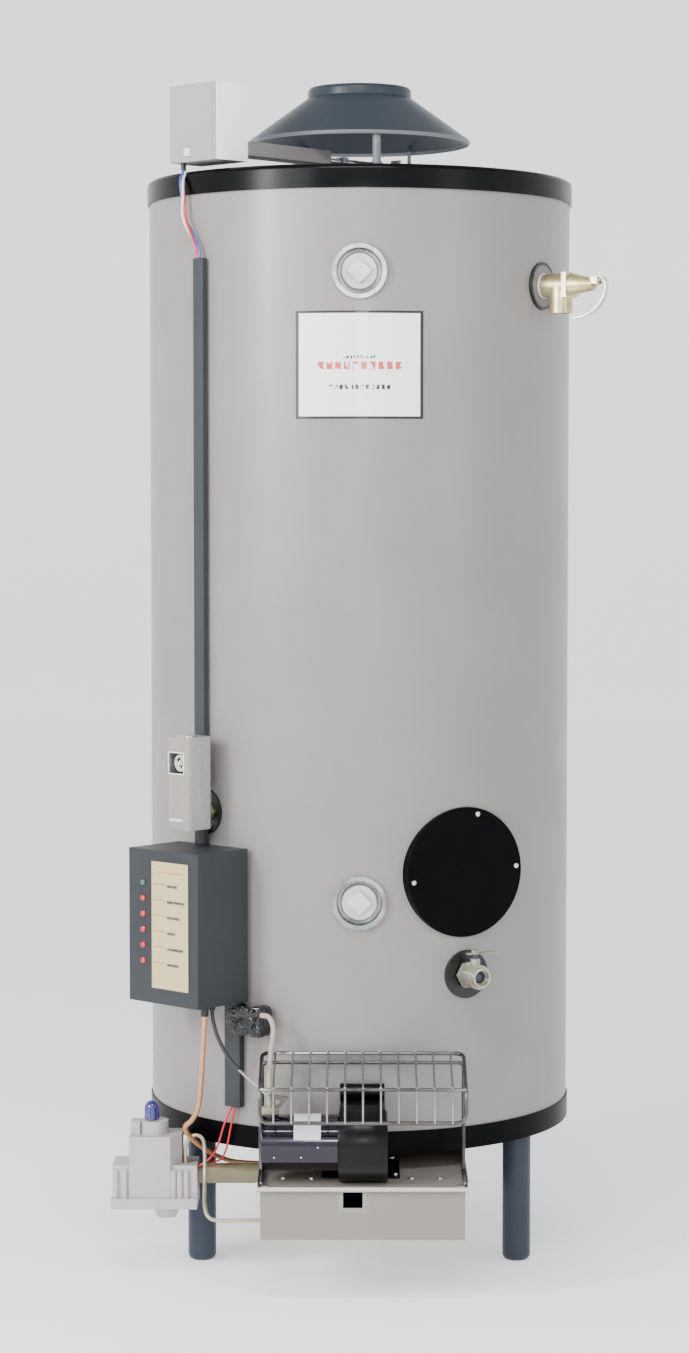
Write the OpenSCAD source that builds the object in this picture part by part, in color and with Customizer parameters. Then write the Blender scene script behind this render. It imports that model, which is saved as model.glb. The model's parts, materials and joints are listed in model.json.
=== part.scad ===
// Commercial gas tank water heater with a power burner, a flue damper and a draft hood.
// The origin is on the floor, on the axis of the tank. The front of the heater faces -Y.

/* [Jacket] */
// Outside diameter of the sheet jacket
jacket_d = 667; // [664:1:670]
// Height of the base pan's underside above the floor
base_z = 208; // [206:1:210]
// Height of the black base band
base_band_h = 35; // [33:1:37]
// Height of the top cover's upper face above the floor
cover_z = 1694.6; // [1690:0.2:1700]
// Height of the top cover's black skirt
cover_skirt_h = 36; // [34:1:38]

/* [Tank] */
// Outside diameter of the pressure vessel
tank_d = 560; // [556:1:562]
// Number of flue tubes round the centre one
outer_flues = 6; // [5:1:6]
// Outside diameter of one flue tube
flue_d = 76; // [70:1:80]

/* [Draft hood and damper] */
// Diameter of the draft hood's lower rim
hood_rim_d = 350; // [340:1:360]
// Inside diameter of the vent collar
vent_d = 153; // [150:1:154]
// Diameter of the damper blade
blade_d = 148; // [140:1:149]

/* [Controls] */
// Width of the control box
control_w = 147; // [140:1:150]
// Height of the control box
control_h = 233; // [230:1:236]
// Width of the thermostat case
thermostat_w = 45; // [43:1:47]
// Height of the thermostat case
thermostat_h = 141; // [138:1:144]
// Number of red lamps under the green one
red_lamps = 5; // [3:1:5]

/* [Burner] */
// Width of the burner tray
tray_w = 304; // [300:1:308]
// Depth of the burner tray's walls
tray_h = 78; // [76:1:80]
// Outside diameter of the gas manifold pipe
manifold_d = 31; // [29:1:32]
// Number of blades on the blower wheel
wheel_blades = 20; // [12:1:24]
// Number of cross wires on the blower guard
guard_wires = 11; // [7:1:13]

/* [Hidden] */
$fn = 96;

// Clearances: between pieces of one body, and between a shaft and its bore
seat_gap = 0.3;
shaft_gap = 0.06;
sheet = 1.5;
over = 1;

jacket_r = jacket_d / 2;
skin_r = jacket_r - 1.2;
tank_r = tank_d / 2;
tank_wall = 4;
tank_bottom = 306;
tank_top = 1600;
coupling_end = 322;

// Openings in the jacket, each as azimuth from the front, height, coupling radius,
// bore radius and radius of the hole in the jacket
upper_port = [0, 1535.6, 33.5, 28.5, 38];
lower_port = [0, 591, 33.5, 28.5, 38];
hot_port = [180, 1535.6, 33.5, 28.5, 38];
cold_port = [180, 420, 33.5, 28.5, 38];
relief_port = [56.9, 1522.5, 18, 13.1, 30];
drain_port = [29.1, 477, 18, 13.6, 30];
probe_port = [-43, 719.6, 12, 8.1, 20];
handhole = [28.5, 633, 70, 55, 85];
anode_angles = [0, 180];
anode_circle_r = 240;
water_ports = [upper_port, lower_port, hot_port, cold_port];
all_ports = concat(water_ports, [relief_port, drain_port, probe_port, handhole]);
plug_ring_r = 41;

// Legs
leg_r = 22;
leg_circle_r = 286;
leg_azimuths = [-60, 60, 180];
foot_r = 14;

// Flues and collector
flue_circle_r = 150;
collector_r = 205;
neck_r = 79;
neck_top = cover_z + 2.4;

// Damper, its axis points out of the heater at this azimuth
damper_az = -43;
damper_z = 1727;
damper_shaft_r = 5;
ring_top = 1716;
blade_z = 1711;
bracket_left = -7;
bracket_right = 32;
bracket_low = 1717;
bracket_high = 1738;
bracket_inner = 99;
actuator_in = 281;
actuator_out = 345;
actuator_mid = -22;
actuator_w = 103;
actuator_low = 1707;
actuator_high = 1823;
button_s = -34;
button_z = 1721.5;
button_w = 13;
gland_s = -56;
gland_u = 333;

// Draft hood
hood_rim_r = hood_rim_d / 2;
hood_rim_z = 1756;
hood_neck_r = 82;
hood_neck_z = 1829;
hood_top = 1845;
hood_t = 1.3;

// Control box, at its azimuth on the jacket
control_az = -41.8;
control_low = 436;
control_in = 336;
control_out = 443;
lamp_s = -42.6;
lamp_top = 618.4;
lamp_step = 23.8;
lamp_r = 5;
panel_left = -24.7;
panel_w = 79;
panel_low = 459;
panel_h = 194;
lead_gland = [-232, -356];
cable_gland = [-221.5, -344];
knockout_r = 11.1;
knockout_u = 405;
knockout_z = 600;

// Thermostat
thermostat_low = 697.7;
thermostat_in = 361;
thermostat_out = 411;
dial_s = -3;
dial_z = 799;
dial_r = 13.5;

// Wiring raceways on the jacket
upper_race_az = -45;
lower_race_az = -34.1;
upper_race_in = 336.8;
lower_race_in = 334.2;
upper_race_top = 1561;
lower_race_low = 271;

// Handhole cover
cover_pan_r = 99;
cover_pan_out = 336;
pan_screw_angles = [187, 3, 76];
pan_screw_circle = 90;

// Relief valve, in its own frame: distance out from the tank axis and height over the port
relief_hub_out = 378;
relief_seat = 355;
stem_r = 2.5;
relief_outlet_u = 367;
relief_outlet_r = 18;
relief_outlet_low = -42.5;
relief_pin = [430, 7];
relief_pin_r = 2.2;

// Drain valve
drain_ball_u = 360;
drain_ball_r = 13;
drain_stem_r = 4;
drain_face = 381;
drain_handle_z = 34;

// Gas valve and manifold
gas_y = -235;
gas_z = 157;
gas_left = -381;
gas_right = -249;
gas_low = 110;
gas_shoulder = 176;
gas_tower_top = 221;
gas_boss_top = 241;
cock_xy = [-320, -238];
cock_r = 5;
knob_r = 11.7;
knob_low = 243.3;
manifold_r = manifold_d / 2;

// Burner tray and plate
tray_left = 5 - tray_w / 2;
tray_front = -432;
tray_back = 110;
plate_z = 180;
plate_t = 2;
plate_top = plate_z + plate_t;
plate_front = -438;
plate_side = 5;
tray_low = plate_z - tray_h;
port_x = -24;
port_z = 150;
port_w = 29;
port_h = 27;
plate_screws = [[-114, -379], [-71, -379], [78, -379], [121, -379]];
flange_screws = [[50, -253], [54, -365]];
screw_hole_r = 2.2;

// Blower: the motor and the wheel turn about one axis along X
blower_y = -394;
blower_z = 240;
drum_r = 58 - seat_gap;
drum_left = -31;
drum_right = 42;
motor_left = -149;
motor_r = 42;
wheel_r = 50;
spindle_r = 5;

// Blower guard
guard_left = -146;
guard_right = 157;
guard_foot = [-345, 185.45];
guard_toe = [-430, 185.45];
guard_back = [-345, 365];
guard_mid = [-345, 351];
guard_knee = [-466, 334];
guard_front = [-470, 285];
rail_r = 3;
wire_r = 1.7;

// Routes of the leads, from where each one leaves its fitting
gas_lead_route = [[-232, -356, 422.4], [-233, -355, 405], [-235, -350, 368], [-238, -340, 325],
    [-243, -330, 282], [-253, -315, 258], [-265, -300, 242], [-257, -272, 219],
    [-233, -232, 190], [-203, -208, 171], [-175, -203, 166], [-148, -203, 165]];
motor_cable_route = [[-221.5, -344, 429.4], [-220, -346, 415], [-214, -351, 394],
    [-202, -357, 370], [-187, -363, 350], [-166, -373, 332], [-150, -385, 321],
    [-136, -396, 311]];
pressure_tube_route = [[-144.2, -341.6, 422], [-138, -346, 421], [-131.5, -352, 414],
    [-129, -357, 398], [-133, -364, 365], [-134.5, -372, 335], [-134, -379, 308],
    [-133.5, -380, 290.3]];
pilot_route = [[-267, -250, 176.3], [-267, -251, 202], [-260, -255, 216], [-250, -258, 221],
    [-240, -262, 215], [-237, -268, 196], [-236, -288, 158], [-234, -330, 130],
    [-228, -346, 116], [-214, -350, 111], [-185, -350, 111], [-147.5, -350, 111]];
wire_one_route = [[-195, -279, 270.2], [-207, -274, 240], [-216, -268, 210],
    [-223, -256, 194], [-234, -251, 180], [-248, -250, 171]];
wire_two_route = [[-189, -283, 270.2], [-196, -280, 240], [-202, -273, 210],
    [-208, -252, 190], [-214, -234, 178], [-226, -217, 170], [-248, -212, 162]];
harness_route = [[-268, -205, 1695.4], [-268, -206, 1690], [-270, -213, 1680],
    [-268, -220, 1655], [-266, -223, 1625], [-255, -234, 1598], [-246, -241, 1577],
    [-242.8, -242.4, 1568], [-242.5, -242.5, 1561.7]];
gas_lead_r = 3.8;
motor_cable_r = 3;
pressure_tube_r = 4;
pilot_r = 3;
wire_lead_r = 1.6;
harness_r = 4.5;

// Helpers ------------------------------------------------------------------

// Turns a child so that its -Y side looks out of the heater at an azimuth
module facing(az) {
    rotate([0, 0, az]) children();
}

// Places a child on the jacket: its X runs round the jacket, its Y up and its Z outwards
module outward(az, z, u = 0, s = 0) {
    rotate([0, 0, az]) translate([s, -u, z]) rotate([90, 0, 0]) children();
}

module tube(ro, ri, h) {
    difference() {
        cylinder(r = ro, h = h);
        translate([0, 0, -over]) cylinder(r = ri, h = h + 2 * over);
    }
}

// A block in a facing frame, from its left side, its inner face and its underside
module wall_block(left, inner, low, w, depth, h) {
    translate([left, -inner - depth, low]) cube([w, depth, h]);
}

// An upright block with four round corners
module rounded_block(w, d, h, r) {
    linear_extrude(h) {
        translate([r, 0]) square([w - 2 * r, d]);
        translate([0, r]) square([w, d - 2 * r]);
        for (x = [r, w - r], y = [r, d - r]) translate([x, y]) circle(r = r);
    }
}

// A ring that lies on the jacket's curve, with a neck into the hole
module saddle_ring(ro, ri, hole_r, out, neck_in) {
    difference() {
        union() {
            difference() {
                translate([0, 0, jacket_r - 10]) cylinder(r = ro, h = out - jacket_r + 10);
                rotate([90, 0, 0])
                    cylinder(r = jacket_r + 0.1, h = 4 * ro, center = true, $fn = 720);
            }
            translate([0, 0, neck_in]) cylinder(r = hole_r - seat_gap, h = out - neck_in - over);
        }
        cylinder(r = ri, h = out + over);
    }
}

// A straight round bar between two points
module bar(a, b, r) {
    d = b - a;
    len_d = norm(d);
    translate(a)
        rotate([0, acos(d[2] / len_d), atan2(d[1], d[0])])
            cylinder(r = r, h = len_d, $fn = 32);
}

function unit(v) = v / norm(v);

// Catmull-Rom curve through the points, with two steps on each stretch
function route_at(p, i, t) =
    let (a = p[max(i - 1, 0)], b = p[i], c = p[i + 1], d = p[min(i + 2, len(p) - 1)])
    0.5 * (2 * b + (c - a) * t + (2 * a - 5 * b + 4 * c - d) * t * t
        + (3 * b - a - 3 * c + d) * t * t * t);
function smooth_route(p) =
    concat([for (i = [0 : len(p) - 2]) for (t = [0, 0.5]) route_at(p, i, t)], [p[len(p) - 1]]);

// A lead: one tube of rings swept along its route
module lead(points, r, sides = 8, aside = [0, 1, 0.2]) {
    route = smooth_route(points);
    last = len(route) - 1;
    rings = [for (i = [0 : last])
        let (t = unit(route[min(i + 1, last)] - route[max(i - 1, 0)]),
            u = unit(cross(t, aside)),
            v = cross(t, u))
        for (j = [0 : sides - 1])
            route[i] + r * (cos(360 * j / sides) * u + sin(360 * j / sides) * v)];
    walls = [for (i = [0 : last - 1]) for (j = [0 : sides - 1])
        [i * sides + j, (i + 1) * sides + j,
            (i + 1) * sides + (j + 1) % sides, i * sides + (j + 1) % sides]];
    polyhedron(
        points = rings,
        faces = concat([[for (j = [0 : sides - 1]) j]],
            walls,
            [[for (j = [sides - 1 : -1 : 0]) last * sides + j]]),
        convexity = 6);
}

// Outline of a bent strap of one thickness along a path in a plane
function strap(path, t) =
    let (n = len(path) - 1,
        side = [for (i = [0 : n])
            let (d = unit(path[min(i + 1, n)] - path[max(i - 1, 0)])) [-d[1], d[0]] * t / 2])
    concat([for (i = [0 : n]) path[i] + side[i]], [for (i = [n : -1 : 0]) path[i] - side[i]]);

// Casing --------------------------------------------------------------------

module jacket_skin() {
    difference() {
        translate([0, 0, base_z + 4]) tube(jacket_r, skin_r, cover_z - base_z - 8.6);
        for (p = all_ports) outward(p[0], p[1], skin_r - 30) cylinder(r = p[4], h = 60);
    }
}

// The wrap closes at the back with a strip in five lengths that holds the two rear openings
module jacket() {
    strip_w = 90;
    joint_gap = 0.2;
    ring_half = 46;
    joints_z = [base_z, cold_port[1] - ring_half, cold_port[1] + ring_half,
        hot_port[1] - ring_half, hot_port[1] + ring_half, cover_z];
    color([0.66, 0.63, 0.62]) {
        difference() {
            jacket_skin();
            translate([-strip_w / 2, 0, base_z]) cube([strip_w, jacket_r + 10, cover_z - base_z]);
        }
        for (i = [0 : 4])
            intersection() {
                jacket_skin();
                translate([-strip_w / 2 + joint_gap, 0, joints_z[i] + joint_gap])
                    cube([strip_w - 2 * joint_gap, jacket_r + 10,
                        joints_z[i + 1] - joints_z[i] - joint_gap]);
            }
    }
}

module top_cover() {
    rim_r = jacket_r + 3.5;
    round_r = 8;
    color([0.03, 0.04, 0.04])
        rotate_extrude()
            polygon(concat(
                [[84, cover_z - sheet], [84, cover_z]],
                [for (a = [90 : -15 : 0])
                    [rim_r - round_r + round_r * cos(a), cover_z - round_r + round_r * sin(a)]],
                [[rim_r, cover_z - cover_skirt_h], [jacket_r + seat_gap, cover_z - cover_skirt_h],
                    [jacket_r + seat_gap, cover_z - sheet]]));
}

module base_pan() {
    slot_w = 34;
    color([0.03, 0.04, 0.04])
        difference() {
            translate([0, 0, base_z + 0.5]) cylinder(r = jacket_r + 2.5, h = base_band_h - 0.5);
            translate([0, 0, base_z + 2.5]) cylinder(r = jacket_r + seat_gap, h = base_band_h);
            for (x = [-90 : 60 : 90])
                translate([x - slot_w / 2, -140, base_z]) cube([slot_w, 230, 10]);
        }
}

module legs() {
    round_h = 10;
    color([0.27, 0.32, 0.37])
        for (az = leg_azimuths)
            facing(az) translate([0, -leg_circle_r, 0])
                rotate_extrude()
                    polygon(concat(
                        [[0, 0], [foot_r, 0]],
                        [for (a = [15 : 15 : 90])
                            [foot_r + (leg_r - foot_r) * sin(a), round_h - round_h * cos(a)]],
                        [[leg_r, base_z + 0.3], [0, base_z + 0.3]]));
}

module insulation() {
    inner = tank_r + 0.5;
    outer = skin_r - 0.3;
    color([0.85, 0.78, 0.55])
        difference() {
            translate([0, 0, 250]) cylinder(r = outer, h = 1405);
            translate([0, 0, 249]) cylinder(r = inner, h = 1366);
            translate([0, 0, 1600]) cylinder(r = collector_r + 2, h = 60);
            for (p = all_ports) outward(p[0], p[1], 200) cylinder(r = p[4] + 1, h = 160);
        }
}

module label_plate() {
    half_angle = 16.5;
    color([0.95, 0.95, 0.95])
        translate([0, 0, 1317]) rotate([0, 0, -90 - half_angle])
            rotate_extrude(angle = 2 * half_angle)
                translate([jacket_r + 0.1, 0]) square([0.8, 160]);
}

// Pressure vessel and flue ----------------------------------------------------

module flue_places() {
    children();
    for (i = [0 : outer_flues - 1])
        rotate([0, 0, 30 + i * 360 / outer_flues]) translate([flue_circle_r, 0, 0]) children();
}

module tank_shell() {
    anode_hole_r = 15;
    color([0.35, 0.4, 0.5])
        difference() {
            union() {
                difference() {
                    translate([0, 0, base_z + 2.8])
                        cylinder(r = tank_r, h = tank_top - base_z - 2.8);
                    translate([0, 0, tank_bottom + 8])
                        cylinder(r = tank_r - tank_wall, h = tank_top - tank_bottom - 16);
                    translate([0, 0, base_z])
                        cylinder(r = tank_r - tank_wall, h = tank_bottom - base_z);
                }
                for (p = concat(water_ports, [relief_port, drain_port, probe_port]))
                    outward(p[0], p[1], tank_r - tank_wall - 1)
                        cylinder(r = p[2], h = coupling_end - tank_r + tank_wall + 1);
                outward(handhole[0], handhole[1], tank_r - 30) cylinder(r = handhole[2], h = 37);
            }
            for (p = all_ports) outward(p[0], p[1], tank_r - 60) cylinder(r = p[3], h = 130);
            flue_places() translate([0, 0, tank_bottom - over])
                cylinder(r = flue_d / 2 + 0.1, h = tank_top - tank_bottom + 2 * over);
            for (a = anode_angles) rotate([0, 0, a]) translate([anode_circle_r, 0, tank_top - 20])
                cylinder(r = anode_hole_r, h = 30);
        }
}

module flue_tubes() {
    color([0.5, 0.5, 0.52])
        flue_places() translate([0, 0, tank_bottom - 4])
            tube(flue_d / 2, flue_d / 2 - 3, tank_top - tank_bottom + 6);
}

module flue_baffles() {
    pitch = 100;
    folds = 12;
    half = 14;
    path = [for (i = [0 : folds]) [half * (i % 2 == 0 ? 1 : -1), 320 + i * pitch]];
    color([0.45, 0.42, 0.4])
        flue_places() translate([0, 25, 0]) rotate([90, 0, 0])
            linear_extrude(50) polygon(strap(path, 2));
}

module anode_rods() {
    rod_h = 1100;
    color([0.75, 0.75, 0.78])
        for (a = anode_angles) rotate([0, 0, a]) translate([anode_circle_r, 0, 0]) {
            translate([0, 0, tank_top - rod_h]) cylinder(r = 11, h = rod_h);
            translate([0, 0, tank_top - 12]) cylinder(r = 14.8, h = 12);
            translate([0, 0, tank_top]) cylinder(r = 16, h = 12, $fn = 6);
        }
}

module flue_collector() {
    shoulder = tank_top + 42;
    neck_low = 1676;
    t = 2;
    color([0.5, 0.5, 0.52])
        rotate_extrude()
            polygon([[collector_r - t, tank_top + 2.3], [collector_r, tank_top + 2.3],
                [collector_r, shoulder], [neck_r, neck_low], [neck_r, neck_top],
                [neck_r - t, neck_top], [neck_r - t, neck_low - t], [collector_r - t, shoulder - t]]);
}

module anchor_foot(az, u, r, top) {
    facing(az) translate([0, -u, cover_z + 0.2]) cylinder(r = r, h = top - cover_z - 0.2, $fn = 48);
}

module draft_hood() {
    bore_r = vent_d / 2;
    slope = (hood_rim_r - hood_neck_r) / (hood_neck_z - hood_rim_z - 6);
    color([0.26, 0.29, 0.35]) {
        rotate_extrude()
            polygon(concat(
                [[hood_rim_r - 2.5, hood_rim_z], [hood_rim_r, hood_rim_z + 0.5],
                    [hood_rim_r + 1, hood_rim_z + 3], [hood_rim_r, hood_rim_z + 6],
                    [hood_neck_r, hood_neck_z]],
                [for (a = [0 : 15 : 90])
                    [hood_neck_r - 5 + 5 * cos(a), hood_top - 7 + 7 * sin(a)]],
                [[bore_r, hood_top], [bore_r, hood_neck_z - 3],
                    [bore_r + 1.5, hood_neck_z - 3],
                    [hood_rim_r - 2.5, hood_rim_z + 6 - hood_t]]));
        anchor_foot(9.5, 160, 6.5, 1767.5);
        for (az = [150, -148]) anchor_foot(az, 162, 3, 1769);
    }
}

// Damper ---------------------------------------------------------------------

module damper_housing() {
    ear_u = 84;
    color([0.55, 0.56, 0.58])
        difference() {
            union() {
                translate([0, 0, neck_top + 0.2]) tube(neck_r, neck_r - 1.8, ring_top - neck_top - 0.2);
                translate([0, 0, cover_z + 0.2]) tube(100, neck_r + 0.2, 2.6);
                translate([0, 0, cover_z + 2.5]) tube(84, neck_r - 1.8, 3);
                facing(damper_az) {
                    wall_block(-10, ear_u, cover_z + 2, 20, 3, damper_z + 10 - cover_z);
                    wall_block(-10, -ear_u - 3, cover_z + 2, 20, 3, damper_z + 10 - cover_z);
                    wall_block(bracket_left, 92, cover_z + 0.2, 30, 18, bracket_low - cover_z - 0.3);
                }
            }
            facing(damper_az) translate([0, 130, damper_z]) rotate([90, 0, 0])
                cylinder(r = damper_shaft_r + shaft_gap, h = 260);
        }
}

module damper_blade() {
    saddle_u = 40;
    color([0.6, 0.6, 0.62])
        difference() {
            union() {
                translate([0, 0, blade_z]) cylinder(r = blade_d / 2, h = sheet);
                facing(damper_az)
                    for (u = [-saddle_u, saddle_u])
                        wall_block(-8, u - 6, blade_z + 1, 16, 12, damper_z - blade_z + 6);
            }
            facing(damper_az) translate([0, 80, damper_z]) rotate([90, 0, 0])
                cylinder(r = damper_shaft_r + 0.01, h = 160);
        }
}

module damper_shaft() {
    color([0.75, 0.75, 0.78])
        facing(damper_az) translate([0, 90, damper_z]) rotate([90, 0, 0])
            cylinder(r = damper_shaft_r, h = 90 + actuator_in + 12);
}

module damper_bracket() {
    w = bracket_right - bracket_left;
    h = bracket_high - bracket_low;
    color([0.45, 0.45, 0.46])
        facing(damper_az)
            difference() {
                union() {
                    wall_block(bracket_left, bracket_inner, bracket_low,
                        w, actuator_in - sheet - bracket_inner, h);
                    wall_block(actuator_mid - actuator_w / 2 + sheet + 0.2, actuator_in - sheet,
                        actuator_low + sheet + 0.2, actuator_w - 2 * sheet - 0.4, sheet,
                        actuator_high - actuator_low - 2 * sheet - 0.4);
                }
                wall_block(bracket_left + sheet, bracket_inner - over, bracket_low + sheet,
                    w - 2 * sheet, actuator_in - 2 * sheet - bracket_inner, h - 2 * sheet);
                translate([0, -actuator_in + 10, damper_z]) rotate([90, 0, 0])
                    cylinder(r = damper_shaft_r + 1, h = 20);
            }
}

module actuator_cover() {
    color([0.8, 0.8, 0.8])
        facing(damper_az)
            difference() {
                wall_block(actuator_mid - actuator_w / 2, actuator_in - sheet, actuator_low,
                    actuator_w, actuator_out - actuator_in + sheet, actuator_high - actuator_low);
                wall_block(actuator_mid - actuator_w / 2 + sheet, actuator_in - sheet - over,
                    actuator_low + sheet, actuator_w - 2 * sheet,
                    actuator_out - actuator_in + over, actuator_high - actuator_low - 2 * sheet);
                wall_block(button_s - button_w / 2 - seat_gap, actuator_out - 5,
                    button_z - button_w / 2 - seat_gap, button_w + 2 * seat_gap, 10,
                    button_w + 2 * seat_gap);
                translate([gland_s, -gland_u, actuator_low - over]) cylinder(r = 4.3, h = 5);
            }
}

module actuator_motor() {
    color([0.3, 0.3, 0.32])
        facing(damper_az)
            difference() {
                union() {
                    translate([0, -actuator_in - 2, damper_z]) rotate([90, 0, 0])
                        cylinder(r = 17, h = 40);
                    wall_block(-60, actuator_in + 0.2, 1750, 80, 30, 60);
                    wall_block(-17, actuator_in + 0.2, 1742, 34, 30, 9);
                }
                translate([0, -actuator_in, damper_z]) rotate([90, 0, 0])
                    cylinder(r = damper_shaft_r + 0.3, h = 24);
            }
}

module service_button() {
    color([0.95, 0.95, 0.95])
        facing(damper_az)
            wall_block(button_s - button_w / 2, actuator_out - 6, button_z - button_w / 2,
                button_w, 9, button_w);
}

module gland(xy, top, h, r) {
    translate([xy[0], xy[1], top - h]) cylinder(r = r, h = h, $fn = 48);
}

module cable_glands() {
    color([0.06, 0.06, 0.07]) {
        gland(lead_gland, control_low, 13, 6);
        gland(cable_gland, control_low, 6, 5);
        facing(damper_az) gland([gland_s, -gland_u], actuator_low + 6, 17, 4);
    }
}

// Wiring ----------------------------------------------------------------------

module raceways() {
    upper_w = 22;
    upper_t = 10;
    lower_w = 29;
    lower_t = 12;
    control_top = control_low + control_h;
    color([0.36, 0.38, 0.4]) {
        facing(upper_race_az) {
            wall_block(-upper_w / 2, upper_race_in, 757, upper_w, upper_t, upper_race_top - 757);
            wall_block(-upper_w / 2, upper_race_in, control_top + 0.2, upper_w, upper_t,
                698 - control_top);
        }
        facing(lower_race_az)
            wall_block(-lower_w / 2, lower_race_in, lower_race_low, lower_w, lower_t,
                control_low - 0.2 - lower_race_low);
    }
}

module damper_harness() {
    color([0.9, 0.9, 0.92]) lead(harness_route, harness_r);
}

module gas_lead() {
    color([0.78, 0.55, 0.35]) lead(gas_lead_route, gas_lead_r, 10);
}

module motor_cable() {
    wedge_x = -134;
    color([0.08, 0.08, 0.09]) {
        lead(motor_cable_route, motor_cable_r);
        translate([0, -391, 0]) rotate([90, 0, 0])
            linear_extrude(12) polygon([[wedge_x, 313], [-105, 309], [-126, 283]]);
    }
}

module pressure_tube() {
    color([0.85, 0.8, 0.65]) {
        lead(pressure_tube_route, pressure_tube_r, 10);
        difference() {
            translate([-146, -389, 276]) cube([26, 18, 14]);
            translate([-150, blower_y, blower_z]) rotate([0, 90, 0])
                cylinder(r = motor_r + 0.2, h = 40);
        }
    }
}

module pilot_tube() {
    color([0.75, 0.73, 0.66]) lead(pilot_route, pilot_r, 8, [0.3, 1, 0]);
}

module valve_wires() {
    color([0.85, 0.12, 0.16]) {
        lead(wire_one_route, wire_lead_r);
        lead(wire_two_route, wire_lead_r);
    }
}

// Openings in the jacket --------------------------------------------------------

module opening_trims() {
    trim_out = jacket_r + 3;
    color([0.05, 0.05, 0.06]) {
        for (p = water_ports)
            outward(p[0], p[1]) saddle_ring(plug_ring_r, p[2] + 0.6, p[4], trim_out + 2, 325);
        outward(relief_port[0], relief_port[1]) saddle_ring(36.5, 13.6, 15, trim_out, 323);
        outward(drain_port[0], drain_port[1]) saddle_ring(37, 14.2, 15.5, trim_out, 323);
        difference() {
            outward(upper_race_az, probe_port[1])
                saddle_ring(35.75, 0.1, 1, upper_race_in - 0.2, 333);
            outward(probe_port[0], probe_port[1], 300) cylinder(r = 14, h = 50);
        }
    }
}

module access_plugs() {
    plug_out = 331;
    plug_in = 292;
    edge = 4;
    boss_w = 27;
    boss_h = 6;
    color([0.82, 0.82, 0.84])
        for (p = [upper_port, lower_port])
            outward(p[0], p[1], plug_in) {
                cylinder(r = p[3] - 0.1, h = plug_out - plug_in - edge);
                translate([0, 0, plug_out - plug_in - edge])
                    cylinder(r1 = p[3] - 0.1, r2 = p[3] - 2.5, h = edge);
                translate([0, 0, plug_out - plug_in]) rotate([0, 0, 45])
                    cube([boss_w, boss_w, 2 * boss_h], center = true);
            }
}

module handhole_plate() {
    bolt_circle = 60;
    color([0.4, 0.4, 0.42])
        outward(handhole[0], handhole[1], tank_r + 7.2) {
            cylinder(r = 69, h = 6);
            for (a = [0 : 60 : 300]) rotate([0, 0, a]) translate([bolt_circle, 0, 6])
                cylinder(r = 7, h = 6, $fn = 6);
        }
}

// A shallow pan whose rim follows the jacket
module handhole_cover() {
    color([0.02, 0.02, 0.03])
        outward(handhole[0], handhole[1])
            difference() {
                translate([0, 0, cover_pan_out - 22]) cylinder(r = cover_pan_r, h = 22);
                translate([0, 0, cover_pan_out - 30])
                    cylinder(r = cover_pan_r - sheet, h = 30 - sheet);
                rotate([90, 0, 0])
                    cylinder(r = jacket_r + 0.1, h = 300, center = true, $fn = 720);
                for (a = pan_screw_angles) rotate([0, 0, a]) translate([pan_screw_circle, 0, 300])
                    cylinder(r = screw_hole_r, h = 50, $fn = 48);
            }
}

module pan_head_screw(r, shank) {
    cylinder(r = r / 2, h = shank, $fn = 32);
    translate([0, 0, shank]) rotate_extrude($fn = 48)
        polygon([[0, 0], [r, 0], [r * 0.92, r * 0.35], [r * 0.6, r * 0.6], [0, r * 0.7]]);
}

module fasteners() {
    color([0.85, 0.85, 0.87]) {
        for (a = pan_screw_angles) outward(handhole[0], handhole[1], cover_pan_out - 2.4)
            rotate([0, 0, a]) translate([pan_screw_circle, 0, 0.1]) pan_head_screw(4, 2.4);
        for (p = plate_screws) translate([p[0], p[1], plate_top + 0.1 - 6]) pan_head_screw(4, 6);
        for (p = flange_screws) translate([p[0], p[1], plate_top + 3.2 - 6]) pan_head_screw(4, 6);
    }
}

// Thermostat --------------------------------------------------------------------

module thermostat_base() {
    half = thermostat_w / 2 - sheet - 0.2;
    color([0.7, 0.7, 0.7])
        facing(control_az)
            difference() {
                wall_block(-half, thermostat_in, thermostat_low + sheet + 0.2,
                    2 * half, sheet, thermostat_h - 2 * sheet - 0.4);
                translate([dial_s, -thermostat_in + 10, dial_z]) rotate([90, 0, 0])
                    cylinder(r = 3 + shaft_gap, h = 20);
            }
}

module thermostat_cover() {
    window = 30;
    corner = 5;
    depth = thermostat_out - thermostat_in;
    color([0.78, 0.77, 0.74])
        facing(control_az) {
            difference() {
                translate([-thermostat_w / 2, -thermostat_out, thermostat_low])
                    rounded_block(thermostat_w, depth, thermostat_h, corner);
                translate([-thermostat_w / 2 + sheet, -thermostat_out + sheet, thermostat_low + sheet])
                    cube([thermostat_w - 2 * sheet, depth, thermostat_h - 2 * sheet]);
                wall_block(dial_s - window / 2, thermostat_out - 5, dial_z - window / 2,
                    window, 10, window);
            }
            translate([-4, -thermostat_out + 18, thermostat_low + thermostat_h])
                cylinder(r = 10, h = 3);
        }
}

module thermostat_dial() {
    color([0.9, 0.9, 0.88])
        outward(control_az, dial_z, thermostat_in - 4, dial_s) {
            cylinder(r = 3, h = 44);
            translate([0, 0, 42]) cylinder(r = dial_r, h = 3);
            translate([0, 0, 45]) cylinder(r = 5, h = 3);
        }
}

module thermostat_well() {
    color([0.75, 0.68, 0.45])
        outward(probe_port[0], probe_port[1], 190) {
            cylinder(r = 8, h = thermostat_in - 190 - 0.5);
            translate([0, 0, 134]) cylinder(r = 13, h = 18, $fn = 6);
        }
}

// Control box --------------------------------------------------------------------

module control_back() {
    w = control_w - 2 * sheet - 0.4;
    h = control_h - 2 * sheet - 0.4;
    color([0.5, 0.52, 0.54])
        facing(control_az)
            wall_block(-w / 2, control_in, control_low + sheet + 0.2, w, sheet, h);
}

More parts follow.
